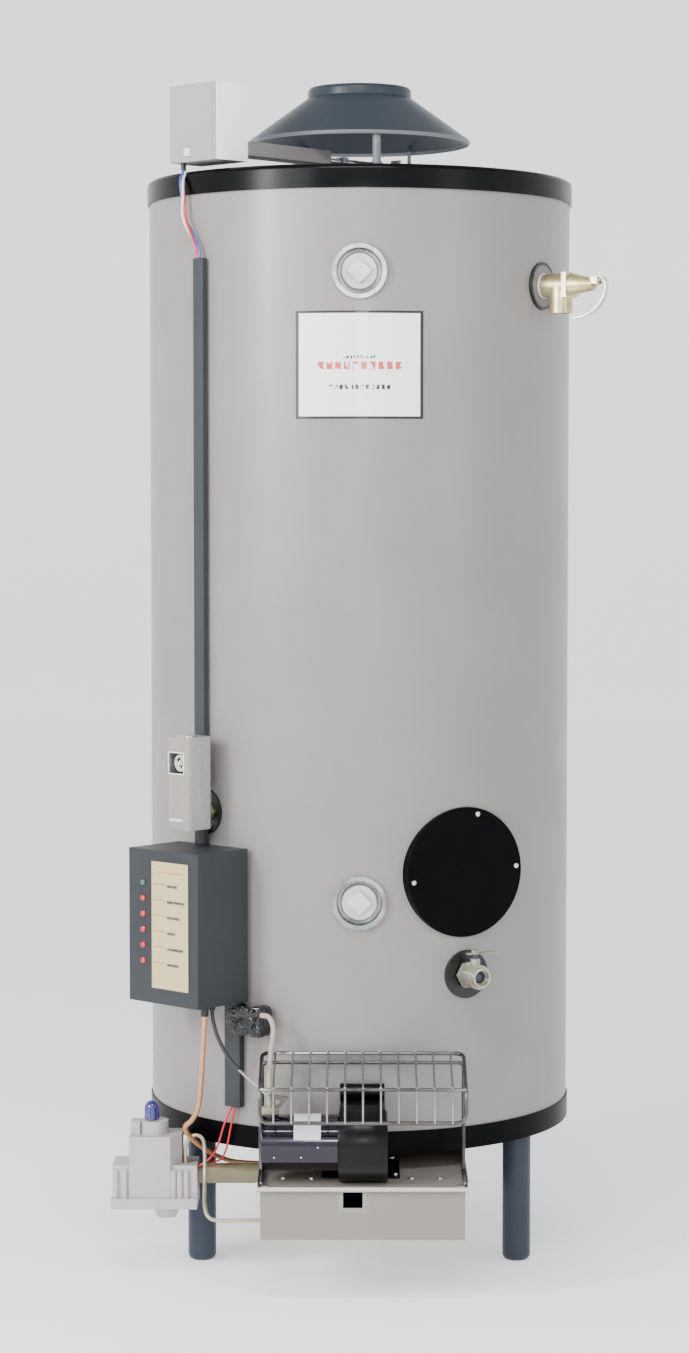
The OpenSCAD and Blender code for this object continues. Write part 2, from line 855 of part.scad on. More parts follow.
module control_cover() {
    color([0.3, 0.34, 0.36])
        difference() {
            facing(control_az)
                difference() {
                    wall_block(-control_w / 2, control_in, control_low, control_w,
                        control_out - control_in, control_h);
                    wall_block(-control_w / 2 + sheet, control_in - over, control_low + sheet,
                        control_w - 2 * sheet, control_out - control_in + over - sheet,
                        control_h - 2 * sheet);
                    for (i = [0 : red_lamps])
                        translate([lamp_s, -control_out + 5, lamp_top - i * lamp_step])
                            rotate([90, 0, 0]) cylinder(r = lamp_r + 0.1, h = 10);
                    translate([-control_w / 2 - 5, -knockout_u, knockout_z]) rotate([0, 90, 0])
                        cylinder(r = knockout_r, h = 10);
                }
        }
}

module status_panel() {
    color([0.93, 0.85, 0.68])
        facing(control_az)
            wall_block(panel_left, control_out, panel_low, panel_w, 0.8, panel_h);
}

module status_lamps() {
    color([0.8, 0.15, 0.15])
        for (i = [0 : red_lamps])
            outward(control_az, lamp_top - i * lamp_step, control_out - 6, lamp_s) {
                cylinder(r = lamp_r, h = 7, $fn = 48);
                translate([0, 0, 7]) rotate_extrude($fn = 48)
                    polygon(concat([[0, 0]],
                        [for (a = [0 : 15 : 90]) [lamp_r * cos(a), 0.6 * lamp_r * sin(a)]]));
            }
}

module control_modules() {
    board_u = 345;
    color([0.15, 0.4, 0.25])
        facing(control_az) {
            wall_block(-58, board_u, 452, 116, 1.6, 196);
            wall_block(-50, board_u + 1.6, 470, 46, 42, 40);
            wall_block(-20, board_u + 1.6, 550, 70, 26, 60);
            wall_block(-52, board_u + 1.6, 630, 100, 12, 10);
            for (s = [-52, 52], z = [458, 642])
                wall_block(s - 4, control_in + sheet, z - 4, 8, board_u - control_in - sheet, 8);
        }
}

// Relief valve --------------------------------------------------------------------

module relief_body() {
    hub_r = 18;
    flange = 38;
    socket_h = 18;
    color([0.78, 0.74, 0.6])
        outward(relief_port[0], relief_port[1])
            difference() {
                union() {
                    translate([0, 0, 285]) cylinder(r = 13, h = 60);
                    translate([0, 0, 340]) cylinder(r = hub_r, h = relief_hub_out - 340);
                    translate([0, 0, relief_outlet_u]) rotate([90, 0, 0])
                        cylinder(r = relief_outlet_r, h = -relief_outlet_low);
                    translate([-flange / 2, -flange / 2, relief_hub_out]) cube([flange, flange, 8]);
                    translate([0, 0, relief_hub_out + 8]) cylinder(r1 = 17, r2 = 9.5, h = 38);
                    for (s = [-8.5, 5.5]) translate([s, 0, relief_hub_out + 44])
                        cube([3, relief_pin[1] + 4, relief_pin[0] - relief_hub_out - 40]);
                    translate([-8, relief_pin[1], relief_pin[0]]) rotate([0, 90, 0])
                        cylinder(r = relief_pin_r, h = 16, $fn = 48);
                }
                translate([0, 0, 280]) cylinder(r = 9, h = relief_seat - 280 + over);
                translate([0, 0, relief_outlet_u]) rotate([90, 0, 0])
                    cylinder(r = 10.5, h = -relief_outlet_low - socket_h + over);
                translate([0, relief_outlet_low + socket_h, relief_outlet_u]) rotate([90, 0, 0])
                    cylinder(r = 12, h = socket_h + over);
                translate([0, 0, relief_seat]) cylinder(r = 12, h = 17);
                translate([0, 0, 350]) cylinder(r = stem_r + shaft_gap, h = 90, $fn = 48);
            }
}

// The lever is a bent strap that hangs from its pin in front of the stem
module relief_lever() {
    path = [[431, 10], [437, 11], [442, 8], [446, 1], [446, -9], [442, -22], [435, -32],
        [425, -41], [409, -48], [391, -51]];
    width = 10;
    tip_w = 15;
    color([0.82, 0.82, 0.84])
        facing(relief_port[0]) translate([0, 0, relief_port[1]])
            difference() {
                union() {
                    intersection() {
                        rotate([90, 0, -90]) translate([0, 0, -tip_w / 2 - over])
                            linear_extrude(tip_w + 2 * over) polygon(strap(path, 1.8));
                        translate([0, -relief_hub_out, 0]) rotate([90, 0, 0])
                            linear_extrude(80)
                                polygon([[-width / 2, 14], [-width / 2, -8], [-tip_w / 2, -55],
                                    [tip_w / 2, -55], [width / 2, -8], [width / 2, 14]]);
                    }
                    translate([-width / 2, -relief_pin[0], relief_pin[1]]) rotate([0, 90, 0])
                        cylinder(r = 4.2, h = width, $fn = 48);
                }
                translate([-width, -relief_pin[0], relief_pin[1]]) rotate([0, 90, 0])
                    cylinder(r = relief_pin_r + shaft_gap, h = 2 * width, $fn = 48);
            }
}

module relief_stem() {
    color([0.7, 0.7, 0.72])
        outward(relief_port[0], relief_port[1], relief_seat + 0.3) {
            cylinder(r = 10.5, h = 4);
            cylinder(r = stem_r, h = 433 - relief_seat, $fn = 48);
        }
}

// Drain valve ----------------------------------------------------------------------

module drain_body() {
    color([0.75, 0.72, 0.6])
        outward(drain_port[0], drain_port[1])
            difference() {
                union() {
                    translate([0, 0, 285]) cylinder(r = 13.5, h = 62);
                    translate([0, 0, 340]) cylinder(r = 21, h = 10, $fn = 6);
                    translate([0, 0, 348]) cylinder(r = 18.5, h = 26);
                    translate([0, 0, 372]) cylinder(r = 15, h = drain_face - 372);
                    translate([0, 0, drain_ball_u]) rotate([-90, 0, 0]) cylinder(r = 7.5, h = 27);
                    translate([-15, 8, drain_ball_u - 3]) cube([7, 14, 6]);
                }
                translate([0, 0, 280]) cylinder(r = 9.5, h = 120);
                translate([0, 0, drain_ball_u]) sphere(r = drain_ball_r + seat_gap);
                translate([0, 0, drain_face - 7]) cylinder(r = 12, h = 8);
                translate([0, 0, drain_ball_u]) rotate([-90, 0, 0])
                    cylinder(r = drain_stem_r + shaft_gap, h = 40, $fn = 48);
            }
}

module drain_ball() {
    color([0.85, 0.85, 0.87])
        outward(drain_port[0], drain_port[1], drain_ball_u) {
            difference() {
                sphere(r = drain_ball_r);
                rotate([0, 90, 0]) cylinder(r = 9, h = 40, center = true);
            }
            translate([0, 11, 0]) rotate([-90, 0, 0])
                cylinder(r = drain_stem_r, h = drain_handle_z - 11 + 6, $fn = 48);
        }
}

module drain_handle() {
    reach = 40;
    color([0.8, 0.8, 0.78])
        facing(drain_port[0]) translate([0, -drain_ball_u, drain_port[1] + drain_handle_z])
            difference() {
                union() {
                    cylinder(r = 7, h = 1.8, $fn = 48);
                    translate([-13, -5, 0]) cube([reach + 13 - 5, 10, 1.8]);
                    translate([reach - 5, 0, 0]) cylinder(r = 5, h = 1.8, $fn = 48);
                    translate([0, 0, 1.8]) cylinder(r = 6, h = 4, $fn = 6);
                }
                translate([0, 0, -over]) cylinder(r = drain_stem_r + 0.01, h = 10, $fn = 48);
            }
}

// Gas train ------------------------------------------------------------------------

module gas_valve_body() {
    tower = [[-353, -272], [-290, -272], [-273, -251], [-273, -205], [-353, -205]];
    color([0.78, 0.76, 0.76])
        difference() {
            union() {
                translate([gas_left, -277, gas_low]) cube([gas_right - gas_left, 84, 16]);
                translate([gas_left + 2, -268, gas_low + 15])
                    cube([gas_right - gas_left - 2, 66, gas_shoulder - gas_low - 15]);
                for (x = [-374, -360, -285, -275, -265])
                    translate([x, -268, gas_low + 15]) cylinder(r = 5, h = 44, $fn = 48);
                translate([0, 0, gas_low + 15])
                    linear_extrude(gas_tower_top - gas_low - 15) polygon(tower);
                translate([-316, cock_xy[1], gas_tower_top - over])
                    cylinder(r = 21.8, h = gas_boss_top - gas_tower_top + over);
                translate([-351, -252, gas_tower_top - over])
                    cube([14, 28, gas_boss_top - gas_tower_top + over]);
                translate([-355, gas_y, gas_low - 7]) cylinder(r1 = 14, r2 = 17, h = 8);
                translate([-298, gas_y, gas_low - 20]) cylinder(r1 = 15, r2 = 22, h = 21);
            }
            translate([gas_left - over, gas_y, gas_z]) rotate([0, 90, 0]) cylinder(r = 12, h = 26);
            translate([gas_right - 13, gas_y, gas_z]) rotate([0, 90, 0])
                cylinder(r = manifold_r + 0.1, h = 20);
            translate([cock_xy[0], cock_xy[1], 202]) cylinder(r = cock_r + shaft_gap, h = 50, $fn = 48);
        }
}

module gas_cock() {
    color([0.8, 0.8, 0.78])
        translate([cock_xy[0], cock_xy[1], 206]) cylinder(r = cock_r, h = 54, $fn = 48);
}

module gas_knob() {
    dome_z = 16;
    color([0.2, 0.18, 0.5])
        translate([cock_xy[0], cock_xy[1], knob_low])
            difference() {
                rotate_extrude($fn = 48)
                    polygon(concat([[0, 0], [knob_r, 0], [knob_r, dome_z]],
                        [for (a = [15 : 15 : 90]) [knob_r * cos(a), dome_z + 12 * sin(a)]]));
                translate([0, 0, -over]) cylinder(r = cock_r + shaft_gap, h = 260.2 - knob_low + over,
                    $fn = 48);
                for (a = [0 : 45 : 315]) rotate([0, 0, a]) translate([knob_r + 1.2, 0, -over])
                    cylinder(r = 2, h = dome_z + 2, $fn = 24);
            }
}

module manifold_pipe() {
    start = gas_right - 12.5;
    color([0.8, 0.76, 0.6])
        translate([start, gas_y, gas_z]) rotate([0, 90, 0])
            tube(manifold_r, manifold_r - 2.8, -60 - start);
}

module pressure_switch() {
    switch_az = -30;
    switch_z = 409;
    color([0.1, 0.11, 0.13])
        facing(switch_az) {
            translate([0, -347.5, switch_z]) rotate([90, 0, 0]) cylinder(r = 25, h = 14);
            translate([0, -361, switch_z]) rotate([90, 0, 0]) cylinder(r = 19, h = 7);
            wall_block(17, 334.2, switch_z - 25, 28, 38, 50);
        }
}

// Blower -----------------------------------------------------------------------------

module along_x(x) {
    translate([x, blower_y, blower_z]) rotate([0, 90, 0]) children();
}

module blower_housing() {
    w = drum_right - drum_left;
    inner_r = drum_r - 2;
    scoop_y = blower_y + drum_r;
    lip_r = 12;
    lip_z = 308;
    color([0.15, 0.16, 0.18])
        difference() {
            union() {
                along_x(drum_left) cylinder(r = drum_r, h = w);
                translate([drum_left, blower_y, plate_top + 0.1])
                    cube([w, drum_r, blower_z - plate_top]);
                translate([drum_left + 2, scoop_y - 4, blower_z]) cube([w - 6, 4, lip_z - blower_z]);
                translate([drum_left + 2, scoop_y - lip_r, lip_z]) rotate([0, 90, 0])
                    cylinder(r = lip_r, h = w - 6);
                translate([-57, -381, plate_top + 0.1]) cube([30, 66, 3]);
                translate([drum_right - 2, -381, plate_top + 0.1]) cube([21, 150, 3]);
                translate([drum_left, scoop_y - over, plate_top + 0.1]) cube([w, 106, 3]);
            }
            along_x(drum_left + 2) cylinder(r = inner_r, h = w - 4);
            translate([drum_left + 2, blower_y, plate_top - over])
                cube([w - 4, inner_r, blower_z - plate_top + over]);
            along_x(drum_left - over) cylinder(r = spindle_r + 1, h = 10);
            along_x(drum_right - 5) cylinder(r = 28, h = 10);
            for (p = flange_screws)
                translate([p[0], p[1], plate_top]) cylinder(r = screw_hole_r, h = 10, $fn = 48);
        }
}

module blower_wheel() {
    left = -24;
    w = 56;
    color([0.6, 0.6, 0.62]) {
        difference() {
            union() {
                along_x(left) cylinder(r = wheel_r, h = 2);
                along_x(left) cylinder(r = 11, h = 22);
            }
            along_x(left - over) cylinder(r = spindle_r + 0.01, h = 30);
        }
        along_x(left + w - 2) tube(wheel_r, wheel_r - 9, 2);
        for (i = [0 : wheel_blades - 1])
            along_x(left + 2) rotate([0, 0, i * 360 / wheel_blades])
                translate([wheel_r - 8.5, -0.6, 0]) cube([7.5, 1.2, w - 4]);
    }
}

module motor_shell() {
    len_x = drum_left - motor_left;
    color([0.06, 0.06, 0.08])
        difference() {
            union() {
                along_x(motor_left + 4) cylinder(r = motor_r, h = len_x - 4.1);
                along_x(motor_left) cylinder(r1 = motor_r - 5, r2 = motor_r, h = 4);
            }
            along_x(motor_left + 5) cylinder(r = motor_r - 5, h = len_x - 9);
            along_x(motor_left + 3) cylinder(r = spindle_r + shaft_gap, h = len_x, $fn = 48);
        }
}

module motor_rotor() {
    color([0.5, 0.35, 0.25]) {
        along_x(motor_left + 3.5) cylinder(r = spindle_r, h = drum_right - motor_left - 22, $fn = 48);
        along_x(motor_left + 14) cylinder(r = motor_r - 12, h = 84);
    }
}

// Burner tray --------------------------------------------------------------------------

module burner_tray() {
    color([0.65, 0.62, 0.58])
        difference() {
            union() {
                translate([tray_left, tray_front, tray_low])
                    cube([tray_w, tray_back - tray_front, plate_z - tray_low - 0.1]);
                translate([port_x - 6, tray_front - over, port_z - 6])
                    cube([port_w + 12, 2, plate_z - port_z + 5.9]);
            }
            translate([tray_left + sheet, tray_front + sheet, tray_low + sheet])
                cube([tray_w - 2 * sheet, tray_back - tray_front - 2 * sheet, tray_h]);
            translate([port_x, tray_front - 5, port_z]) cube([port_w, 10, port_h]);
            translate([tray_left - 5, gas_y, gas_z]) rotate([0, 90, 0])
                cylinder(r = manifold_r + 0.3, h = 10);
        }
}

module burner_plate() {
    left = tray_left - plate_side;
    w = tray_w + 2 * plate_side;
    lip = 8;
    slot_w = 30;
    skirt_front = -170;
    color([0.66, 0.63, 0.6])
        difference() {
            union() {
                translate([left, plate_front, plate_z]) cube([w, tray_back - plate_front, plate_t]);
                for (x = [left, left + w - sheet])
                    translate([x, plate_front, plate_z]) cube([sheet, -170 - plate_front, lip + plate_t]);
                translate([left, plate_front, plate_z - 5]) cube([w, sheet, 6]);
                for (x = [left, left + w - sheet])
                    translate([x, skirt_front, plate_z])
                        cube([sheet, tray_back - skirt_front, base_z + 0.3 - plate_z]);
                for (y = [skirt_front, tray_back - sheet])
                    translate([left, y, plate_z]) cube([w, sheet, base_z + 0.3 - plate_z]);
            }
            for (x = [-90 : 60 : 90])
                translate([x - slot_w / 2, -143, plate_z - over]) cube([slot_w, 231, 5]);
            translate([-25, -388, plate_z - over]) cube([60, 46, 5]);
            for (p = concat(plate_screws, flange_screws))
                translate([p[0], p[1], plate_z - over]) cylinder(r = screw_hole_r, h = 5, $fn = 48);
        }
}

module burner_tubes() {
    tube_r = 14;
    color([0.55, 0.54, 0.52])
        for (x = [-90 : 60 : 90])
            difference() {
                translate([x, -140, 176]) rotate([-90, 0, 0]) cylinder(r = tube_r, h = 225, $fn = 48);
                translate([x, -138, 176]) rotate([-90, 0, 0]) cylinder(r = tube_r - 1.5, h = 221, $fn = 48);
                for (y = [-120 : 24 : 60]) translate([x - 3, y, 182]) cube([6, 16, 12]);
                translate([x, -150, 176]) rotate([-90, 0, 0]) cylinder(r = 8, h = 20, $fn = 48);
            }
}

// Blower guard ---------------------------------------------------------------------------

module guard_point(x, p) {
    translate([x, p[0], p[1]]) sphere(r = rail_r + 0.25, $fn = 32);
}

module blower_guard() {
    back = guard_back;
    knee = guard_knee;
    front = guard_front;
    inner = guard_mid;
    step = (guard_right - guard_left - 40) / (guard_wires - 1);
    color([0.35, 0.33, 0.3]) {
        for (p = [back, knee, front, inner])
            bar([guard_left, p[0], p[1]], [guard_right, p[0], p[1]], rail_r);
        for (x = [guard_left, guard_right]) {
            bar([x, guard_toe[0], guard_toe[1]], [x, guard_foot[0], guard_foot[1]], rail_r);
            bar([x, guard_foot[0], guard_foot[1]], [x, back[0], back[1]], rail_r);
            bar([x, back[0], back[1]], [x, knee[0], knee[1]], rail_r);
            bar([x, knee[0], knee[1]], [x, front[0], front[1]], rail_r);
            for (p = [guard_toe, guard_foot, back, knee, front]) guard_point(x, p);
        }
        for (i = [0 : guard_wires - 1]) {
            x = guard_left + 20 + i * step;
            bar([x, back[0], back[1] + 2], [x, knee[0], knee[1] + 2], wire_r);
            bar([x, knee[0] - 2, knee[1]], [x, front[0] - 2, front[1]], wire_r);
        }
    }
}

jacket();
top_cover();
base_pan();
legs();
insulation();
tank_shell();
flue_tubes();
flue_baffles();
anode_rods();
flue_collector();
draft_hood();
damper_housing();
damper_blade();
damper_shaft();
damper_bracket();
actuator_cover();
actuator_motor();
service_button();
cable_glands();
damper_harness();
raceways();
opening_trims();
access_plugs();
label_plate();
handhole_plate();
handhole_cover();
fasteners();
thermostat_base();
thermostat_cover();
thermostat_dial();
thermostat_well();
control_back();
control_cover();
status_panel();
status_lamps();
control_modules();
relief_body();
relief_lever();
relief_stem();
drain_body();
drain_ball();
drain_handle();
gas_valve_body();
gas_cock();
gas_knob();
manifold_pipe();
pilot_tube();
gas_lead();
valve_wires();
motor_cable();
pressure_switch();
pressure_tube();
blower_housing();
blower_wheel();
motor_shell();
motor_rotor();
burner_tray();
burner_plate();
burner_tubes();
blower_guard();
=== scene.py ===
import json
import math

import bmesh
import bpy
import numpy as np
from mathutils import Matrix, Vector


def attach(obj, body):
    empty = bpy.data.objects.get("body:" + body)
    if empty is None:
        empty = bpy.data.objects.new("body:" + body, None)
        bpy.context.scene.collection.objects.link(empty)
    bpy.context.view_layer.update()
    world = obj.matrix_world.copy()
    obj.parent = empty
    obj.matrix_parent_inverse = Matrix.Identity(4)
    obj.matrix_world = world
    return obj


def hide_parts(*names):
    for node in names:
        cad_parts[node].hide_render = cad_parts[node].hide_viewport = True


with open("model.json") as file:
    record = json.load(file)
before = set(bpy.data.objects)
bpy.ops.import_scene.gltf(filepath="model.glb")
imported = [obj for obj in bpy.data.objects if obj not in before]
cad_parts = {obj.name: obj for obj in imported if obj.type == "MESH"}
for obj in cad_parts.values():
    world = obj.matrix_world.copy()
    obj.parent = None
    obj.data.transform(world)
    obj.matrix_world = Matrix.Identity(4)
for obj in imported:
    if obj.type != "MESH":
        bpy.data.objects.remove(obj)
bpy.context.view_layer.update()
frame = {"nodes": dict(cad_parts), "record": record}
nodes = frame["nodes"]
print("frame loaded,", len(nodes), "nodes")

# Camera

camera = {"lens": 80.7, "distance": 4.863, "height": 1.224, "tilt": 86.316, "turn": 0.282}


def placeCamera():
    data = bpy.data.cameras.new("frontCamera")
    data.lens = camera["lens"]
    data.sensor_width = 36
    data.clip_end = 50
    eye = bpy.data.objects.new("frontCamera", data)
    eye.location = (0, -camera["distance"], camera["height"])
    eye.rotation_euler = (math.radians(camera["tilt"]), 0, math.radians(camera["turn"]))
    bpy.context.scene.collection.objects.link(eye)
    bpy.context.scene.camera = eye


placeCamera()


# Shader maths: a Value wraps a socket, and each operator adds one Math node

class Value:
    def __init__(self, shade, socket):
        self.shade = shade
        self.socket = socket

    def math(self, operation, *others):
        sockets = {0: self}
        for index, other in enumerate(others):
            sockets[index + 1] = other
        made = self.shade.node("ShaderNodeMath", {"operation": operation}, sockets)
        return Value(self.shade, made.outputs[0])

    def __add__(self, other):
        return self.math("ADD", other)

    def __sub__(self, other):
        return self.math("SUBTRACT", other)

    def __mul__(self, other):
        return self.math("MULTIPLY", other)

    def __truediv__(self, other):
        return self.math("DIVIDE", other)

    def __rsub__(self, other):
        return self.math("MULTIPLY", -1).math("ADD", other)

    __radd__ = __add__
    __rmul__ = __mul__

    def above(self, edge):
        return self.math("GREATER_THAN", edge)

    def below(self, edge):
        return self.math("LESS_THAN", edge)

    def between(self, low, high):
        return self.above(low) * self.below(high)

    def larger(self, other):
        return self.math("MAXIMUM", other)

    def size(self):
        return self.math("ABSOLUTE")

    def part(self):
        return self.math("FRACT")

    def ramp(self, low, high, start=0.0, end=1.0):
        made = self.shade.node(
            "ShaderNodeMapRange",
            {"interpolation_type": "SMOOTHSTEP"},
            {0: self, 1: low, 2: high, 3: start, 4: end},
        )
        return Value(self.shade, made.outputs[0])


def tint(red, green, blue):
    # screen colour, 0 to 255, as linear light
    return tuple((c / 255 / 12.92 if c < 11 else ((c / 255 + 0.055) / 1.055) ** 2.4)
                 for c in (red, green, blue)) + (1.0,)


class Shade:
    def __init__(self, name):
        self.material = bpy.data.materials.new(name)
        self.material.use_nodes = True
        self.tree = self.material.node_tree
        self.shader = self.tree.nodes["Principled BSDF"]
        self.place = self.node("ShaderNodeTexCoord").outputs["Object"]
        split = self.node("ShaderNodeSeparateXYZ", {}, {0: self.place})
        self.x, self.y, self.z = (Value(self, split.outputs[i]) for i in range(3))

    def node(self, kind, settings=None, sockets=None):
        made = self.tree.nodes.new(kind)
        for key, value in (settings or {}).items():
            setattr(made, key, value)
        for key, value in (sockets or {}).items():
            self.plug(made.inputs[key], value)
        return made

    def plug(self, socket, value):
        if isinstance(value, Value):
            value = value.socket
        if isinstance(value, bpy.types.NodeSocket):
            self.tree.links.new(value, socket)
        else:
            socket.default_value = value

    def finish(self, **sockets):
        for key, value in sockets.items():
            self.plug(self.shader.inputs[socketNames.get(key, key)], value)
        return self.material

    def stretched(self, scale):
        made = self.node("ShaderNodeMapping", {}, {"Vector": self.place, "Scale": scale})
        return made.outputs[0]

    def noise(self, scale, detail=3.0, roughness=0.55, vector=None):
        made = self.node("ShaderNodeTexNoise", {}, {
            "Vector": vector or self.place, "Scale": scale, "Detail": detail, "Roughness": roughness})
        return Value(self, made.outputs[0])

    def cells(self, scale, feature="F1", output=0, vector=None):
        made = self.node("ShaderNodeTexVoronoi", {"feature": feature},
                         {"Vector": vector or self.place, "Scale": scale})
        return Value(self, made.outputs[output])

    def between(self, factor, first, second):
        made = self.node("ShaderNodeMix", {"data_type": "RGBA"}, {0: factor, 6: first, 7: second})
        return made.outputs[2]

    def bump(self, height, strength=0.3, distance=0.0005):
        made = self.node("ShaderNodeBump", {},
                         {"Height": height, "Strength": strength, "Distance": distance})
        return made.outputs[0]

    def out(self, azimuth):
        # distance from the tank's axis, straight out at an azimuth from the front
        a = math.radians(azimuth)
        return self.x * math.sin(a) + self.y * -math.cos(a)

    def along(self, azimuth):
        # distance sideways from that direction
        a = math.radians(azimuth)
        return self.x * math.cos(a) + self.y * math.sin(a)

    def edges(self, low=0.52, high=0.62):
        # worn rims: where the surface turns outwards
        made = self.node("ShaderNodeNewGeometry")
        return Value(self, made.outputs["Pointiness"]).ramp(low, high)


socketNames = {"colour": "Base Color", "rough": "Roughness", "metal": "Metallic", "coat": "Coat Weight",
               "coatRough": "Coat Roughness", "normal": "Normal", "specular": "Specular IOR Level",
               "glow": "Emission Color", "glowStrength": "Emission Strength",
               "clear": "Transmission Weight", "alpha": "Alpha", "ior": "IOR"}


# Paints: mottled colour, fine orange peel and soft scuffs

jacketPaint = {"colour": (132, 128, 127), "dark": (122, 117, 116), "rough": 0.34,
               "coat": 0.1, "specular": 0.4}
blackPaint = {"colour": (3, 4, 5), "dark": (1, 1, 2), "rough": 0.3, "coat": 0.0, "specular": 0.05}
capPaint = {"colour": (4, 5, 6), "dark": (2, 2, 3), "rough": 0.24, "coat": 0.0, "specular": 0.11}
hoodPaint = {"colour": (42, 50, 58), "dark": (35, 42, 50), "rough": 0.34, "coat": 0.0, "specular": 0.2}
legPaint = {"colour": (50, 59, 70), "dark": (40, 48, 58), "rough": 0.4, "coat": 0.0, "specular": 0.25}
boxPaint = {"colour": (50, 52, 55), "dark": (43, 45, 48), "rough": 0.44, "coat": 0.0, "specular": 0.22}
lightPaint = {"colour": (156, 152, 151), "dark": (145, 141, 140), "rough": 0.46,
              "coat": 0.0, "specular": 0.3}
strapPaint = {"colour": (116, 113, 111), "dark": (104, 101, 100), "rough": 0.4, "coat": 0.1}
racewayPaint = {"colour": (54, 56, 58), "dark": (46, 48, 50), "rough": 0.46, "coat": 0.0, "specular": 0.22}
pipePaint = {"colour": (130, 120, 94), "dark": (108, 97, 72), "rough": 0.38, "coat": 0.15}
scrollPaint = {"colour": (6, 7, 9), "dark": (3, 4, 5), "rough": 0.3, "coat": 0.08, "specular": 0.16}


def enamel(name, paint, grain=900.0, peel=0.12, change=None):
    # change gets the shade and the colour, and gives the colour back with marks of its own
    shade = Shade(name)
    broad = shade.noise(6, 4)
    fine = shade.noise(grain, 2, 0.7)
    scuff = shade.noise(40, 6, 0.7, shade.stretched((1, 1, 0.25))).ramp(0.62, 0.78)
    mottle = broad.ramp(0.3, 0.75) * 0.55 + fine.ramp(0.35, 0.7) * 0.45
    colour = shade.between(mottle, tint(*paint["colour"]), tint(*paint["dark"]))
    worn = shade.between(scuff * 0.3, colour, tint(*(min(255, c + 14) for c in paint["colour"])))
    if change:
        worn = change(shade, worn)
    rough = paint["rough"] + (broad - 0.5) * 0.16 + scuff * 0.12
    height = shade.noise(260, 3) * 0.5 + fine * 0.5
    return shade.finish(colour=worn, rough=rough, coat=paint["coat"], coatRough=0.2,
                        specular=paint.get("specular", 0.5), normal=shade.bump(height, peel, 0.0004))


def rolledRim(shade, colour):
    # the underside of the hood's rolled rim catches light from the cover below
    return shade.between(shade.z.ramp(1.7625, 1.7605), colour, tint(104, 108, 112))


def paintedLitSideAndFold(shade, colour):
    # painted light: the cover's right side is painted near white for light that falls from the right, and a
    # fold line runs down its front near that side
    side = shade.along(-43)
    # painted highlight: near white over the cover's right side
    colour = shade.between(side.ramp(0.0283, 0.0289), colour, tint(252, 252, 252))
    return shade.between(side.between(0.0186, 0.0202), colour, tint(128, 124, 124))


trayPaint = {"colour": (133, 127, 120), "dark": (124, 118, 111), "rough": 0.44, "coat": 0.05,
             "specular": 0.3, "port": (-0.0095, 0.1635), "reach": (0.0145, 0.0135), "lip": 0.1765}


def trayMarks(shade, colour):
    # bare metal round the air port, a pale front lip, and soot on the plate's top
    middle, level = trayPaint["port"]
    wide, tall = trayPaint["reach"]
    away = ((shade.x - middle).size() - wide).larger((shade.z - level).size() - tall)
    ragged = away + (shade.noise(70, 4) - 0.5) * 0.006
    front = shade.y.below(-0.43)
    colour = shade.between(ragged.ramp(0.011, 0.005) * front, colour, tint(136, 138, 130))
    soot = shade.noise(14, 5).ramp(0.4, 0.7) * shade.z.ramp(0.1805, 0.1815) * 0.15
    colour = shade.between(soot, colour, tint(98, 88, 84))
    lip = shade.y.below(-0.4362) * shade.z.above(trayPaint["lip"])
    return shade.between(lip * 0.8, colour, tint(196, 194, 188))


motorPaint = {"colour": (2, 2, 4), "dark": (1, 1, 2), "rough": 0.12, "coat": 0.5, "sheen": (236, 226, 255)}


def glossMotor():
    # thick gloss over black, with a violet cast in its highlights and dull patches
    shade = Shade("motorPaint")
    dull = shade.noise(30, 5, 0.7)
    colour = shade.between(dull.ramp(0.4, 0.7), tint(*motorPaint["colour"]), tint(*motorPaint["dark"]))
    shade.shader.inputs["Specular Tint"].default_value = tint(*motorPaint["sheen"])
    shade.shader.inputs["Coat Tint"].default_value = tint(240, 232, 255)
    return shade.finish(colour=colour, rough=motorPaint["rough"] + dull.ramp(0.45, 0.8) * 0.3,
                        coat=motorPaint["coat"], coatRough=0.07, specular=0.4,
                        normal=shade.bump(shade.noise(45, 3) * 0.7 + shade.noise(600) * 0.3, 0.1, 0.0006))


# Bare metals: a drawn or cast grain, stains, and brighter rims

zinc = {"colour": (150, 152, 156), "dark": (104, 107, 112), "rough": 0.38}
bright = {"colour": (222, 222, 224), "dark": (176, 176, 182), "rough": 0.24}
brassCast = {"colour": (206, 194, 148), "dark": (150, 134, 92), "rough": 0.3}
drainBrass = {"colour": (158, 158, 142), "dark": (112, 110, 96), "rough": 0.36}
steelDrawn = {"colour": (132, 132, 134), "dark": (84, 82, 82), "rough": 0.36}
nickel = {"colour": (176, 170, 148), "dark": (136, 128, 106), "rough": 0.34}
copperSheath = {"colour": (206, 152, 112), "dark": (150, 100, 68), "rough": 0.34}
wireChrome = {"colour": (74, 74, 74), "dark": (40, 35, 30), "rough": 0.27}


def bareMetal(name, finish, metal=1.0, grain=700.0, cast=0.15, rust=0.0):
    shade = Shade(name)
    stain = shade.noise(28, 6, 0.65)
    pits = shade.noise(grain, 3, 0.7)
    cavity = shade.noise(120, 4)
    colour = shade.between(stain.ramp(0.42, 0.74), tint(*finish["colour"]), tint(*finish["dark"]))
    colour = shade.between(shade.edges() * 0.5, colour, tint(235, 234, 230))
    if rust:
        spots = shade.noise(60, 6, 0.75).ramp(0.6, 0.72) * rust
        colour = shade.between(spots, colour, tint(116, 76, 48))
    rough = finish["rough"] + (stain - 0.5) * 0.3 + pits * 0.08
    height = pits * 0.6 + cavity * 0.4
    return shade.finish(colour=colour, rough=rough, metal=metal,
                        normal=shade.bump(height, cast, 0.0005))


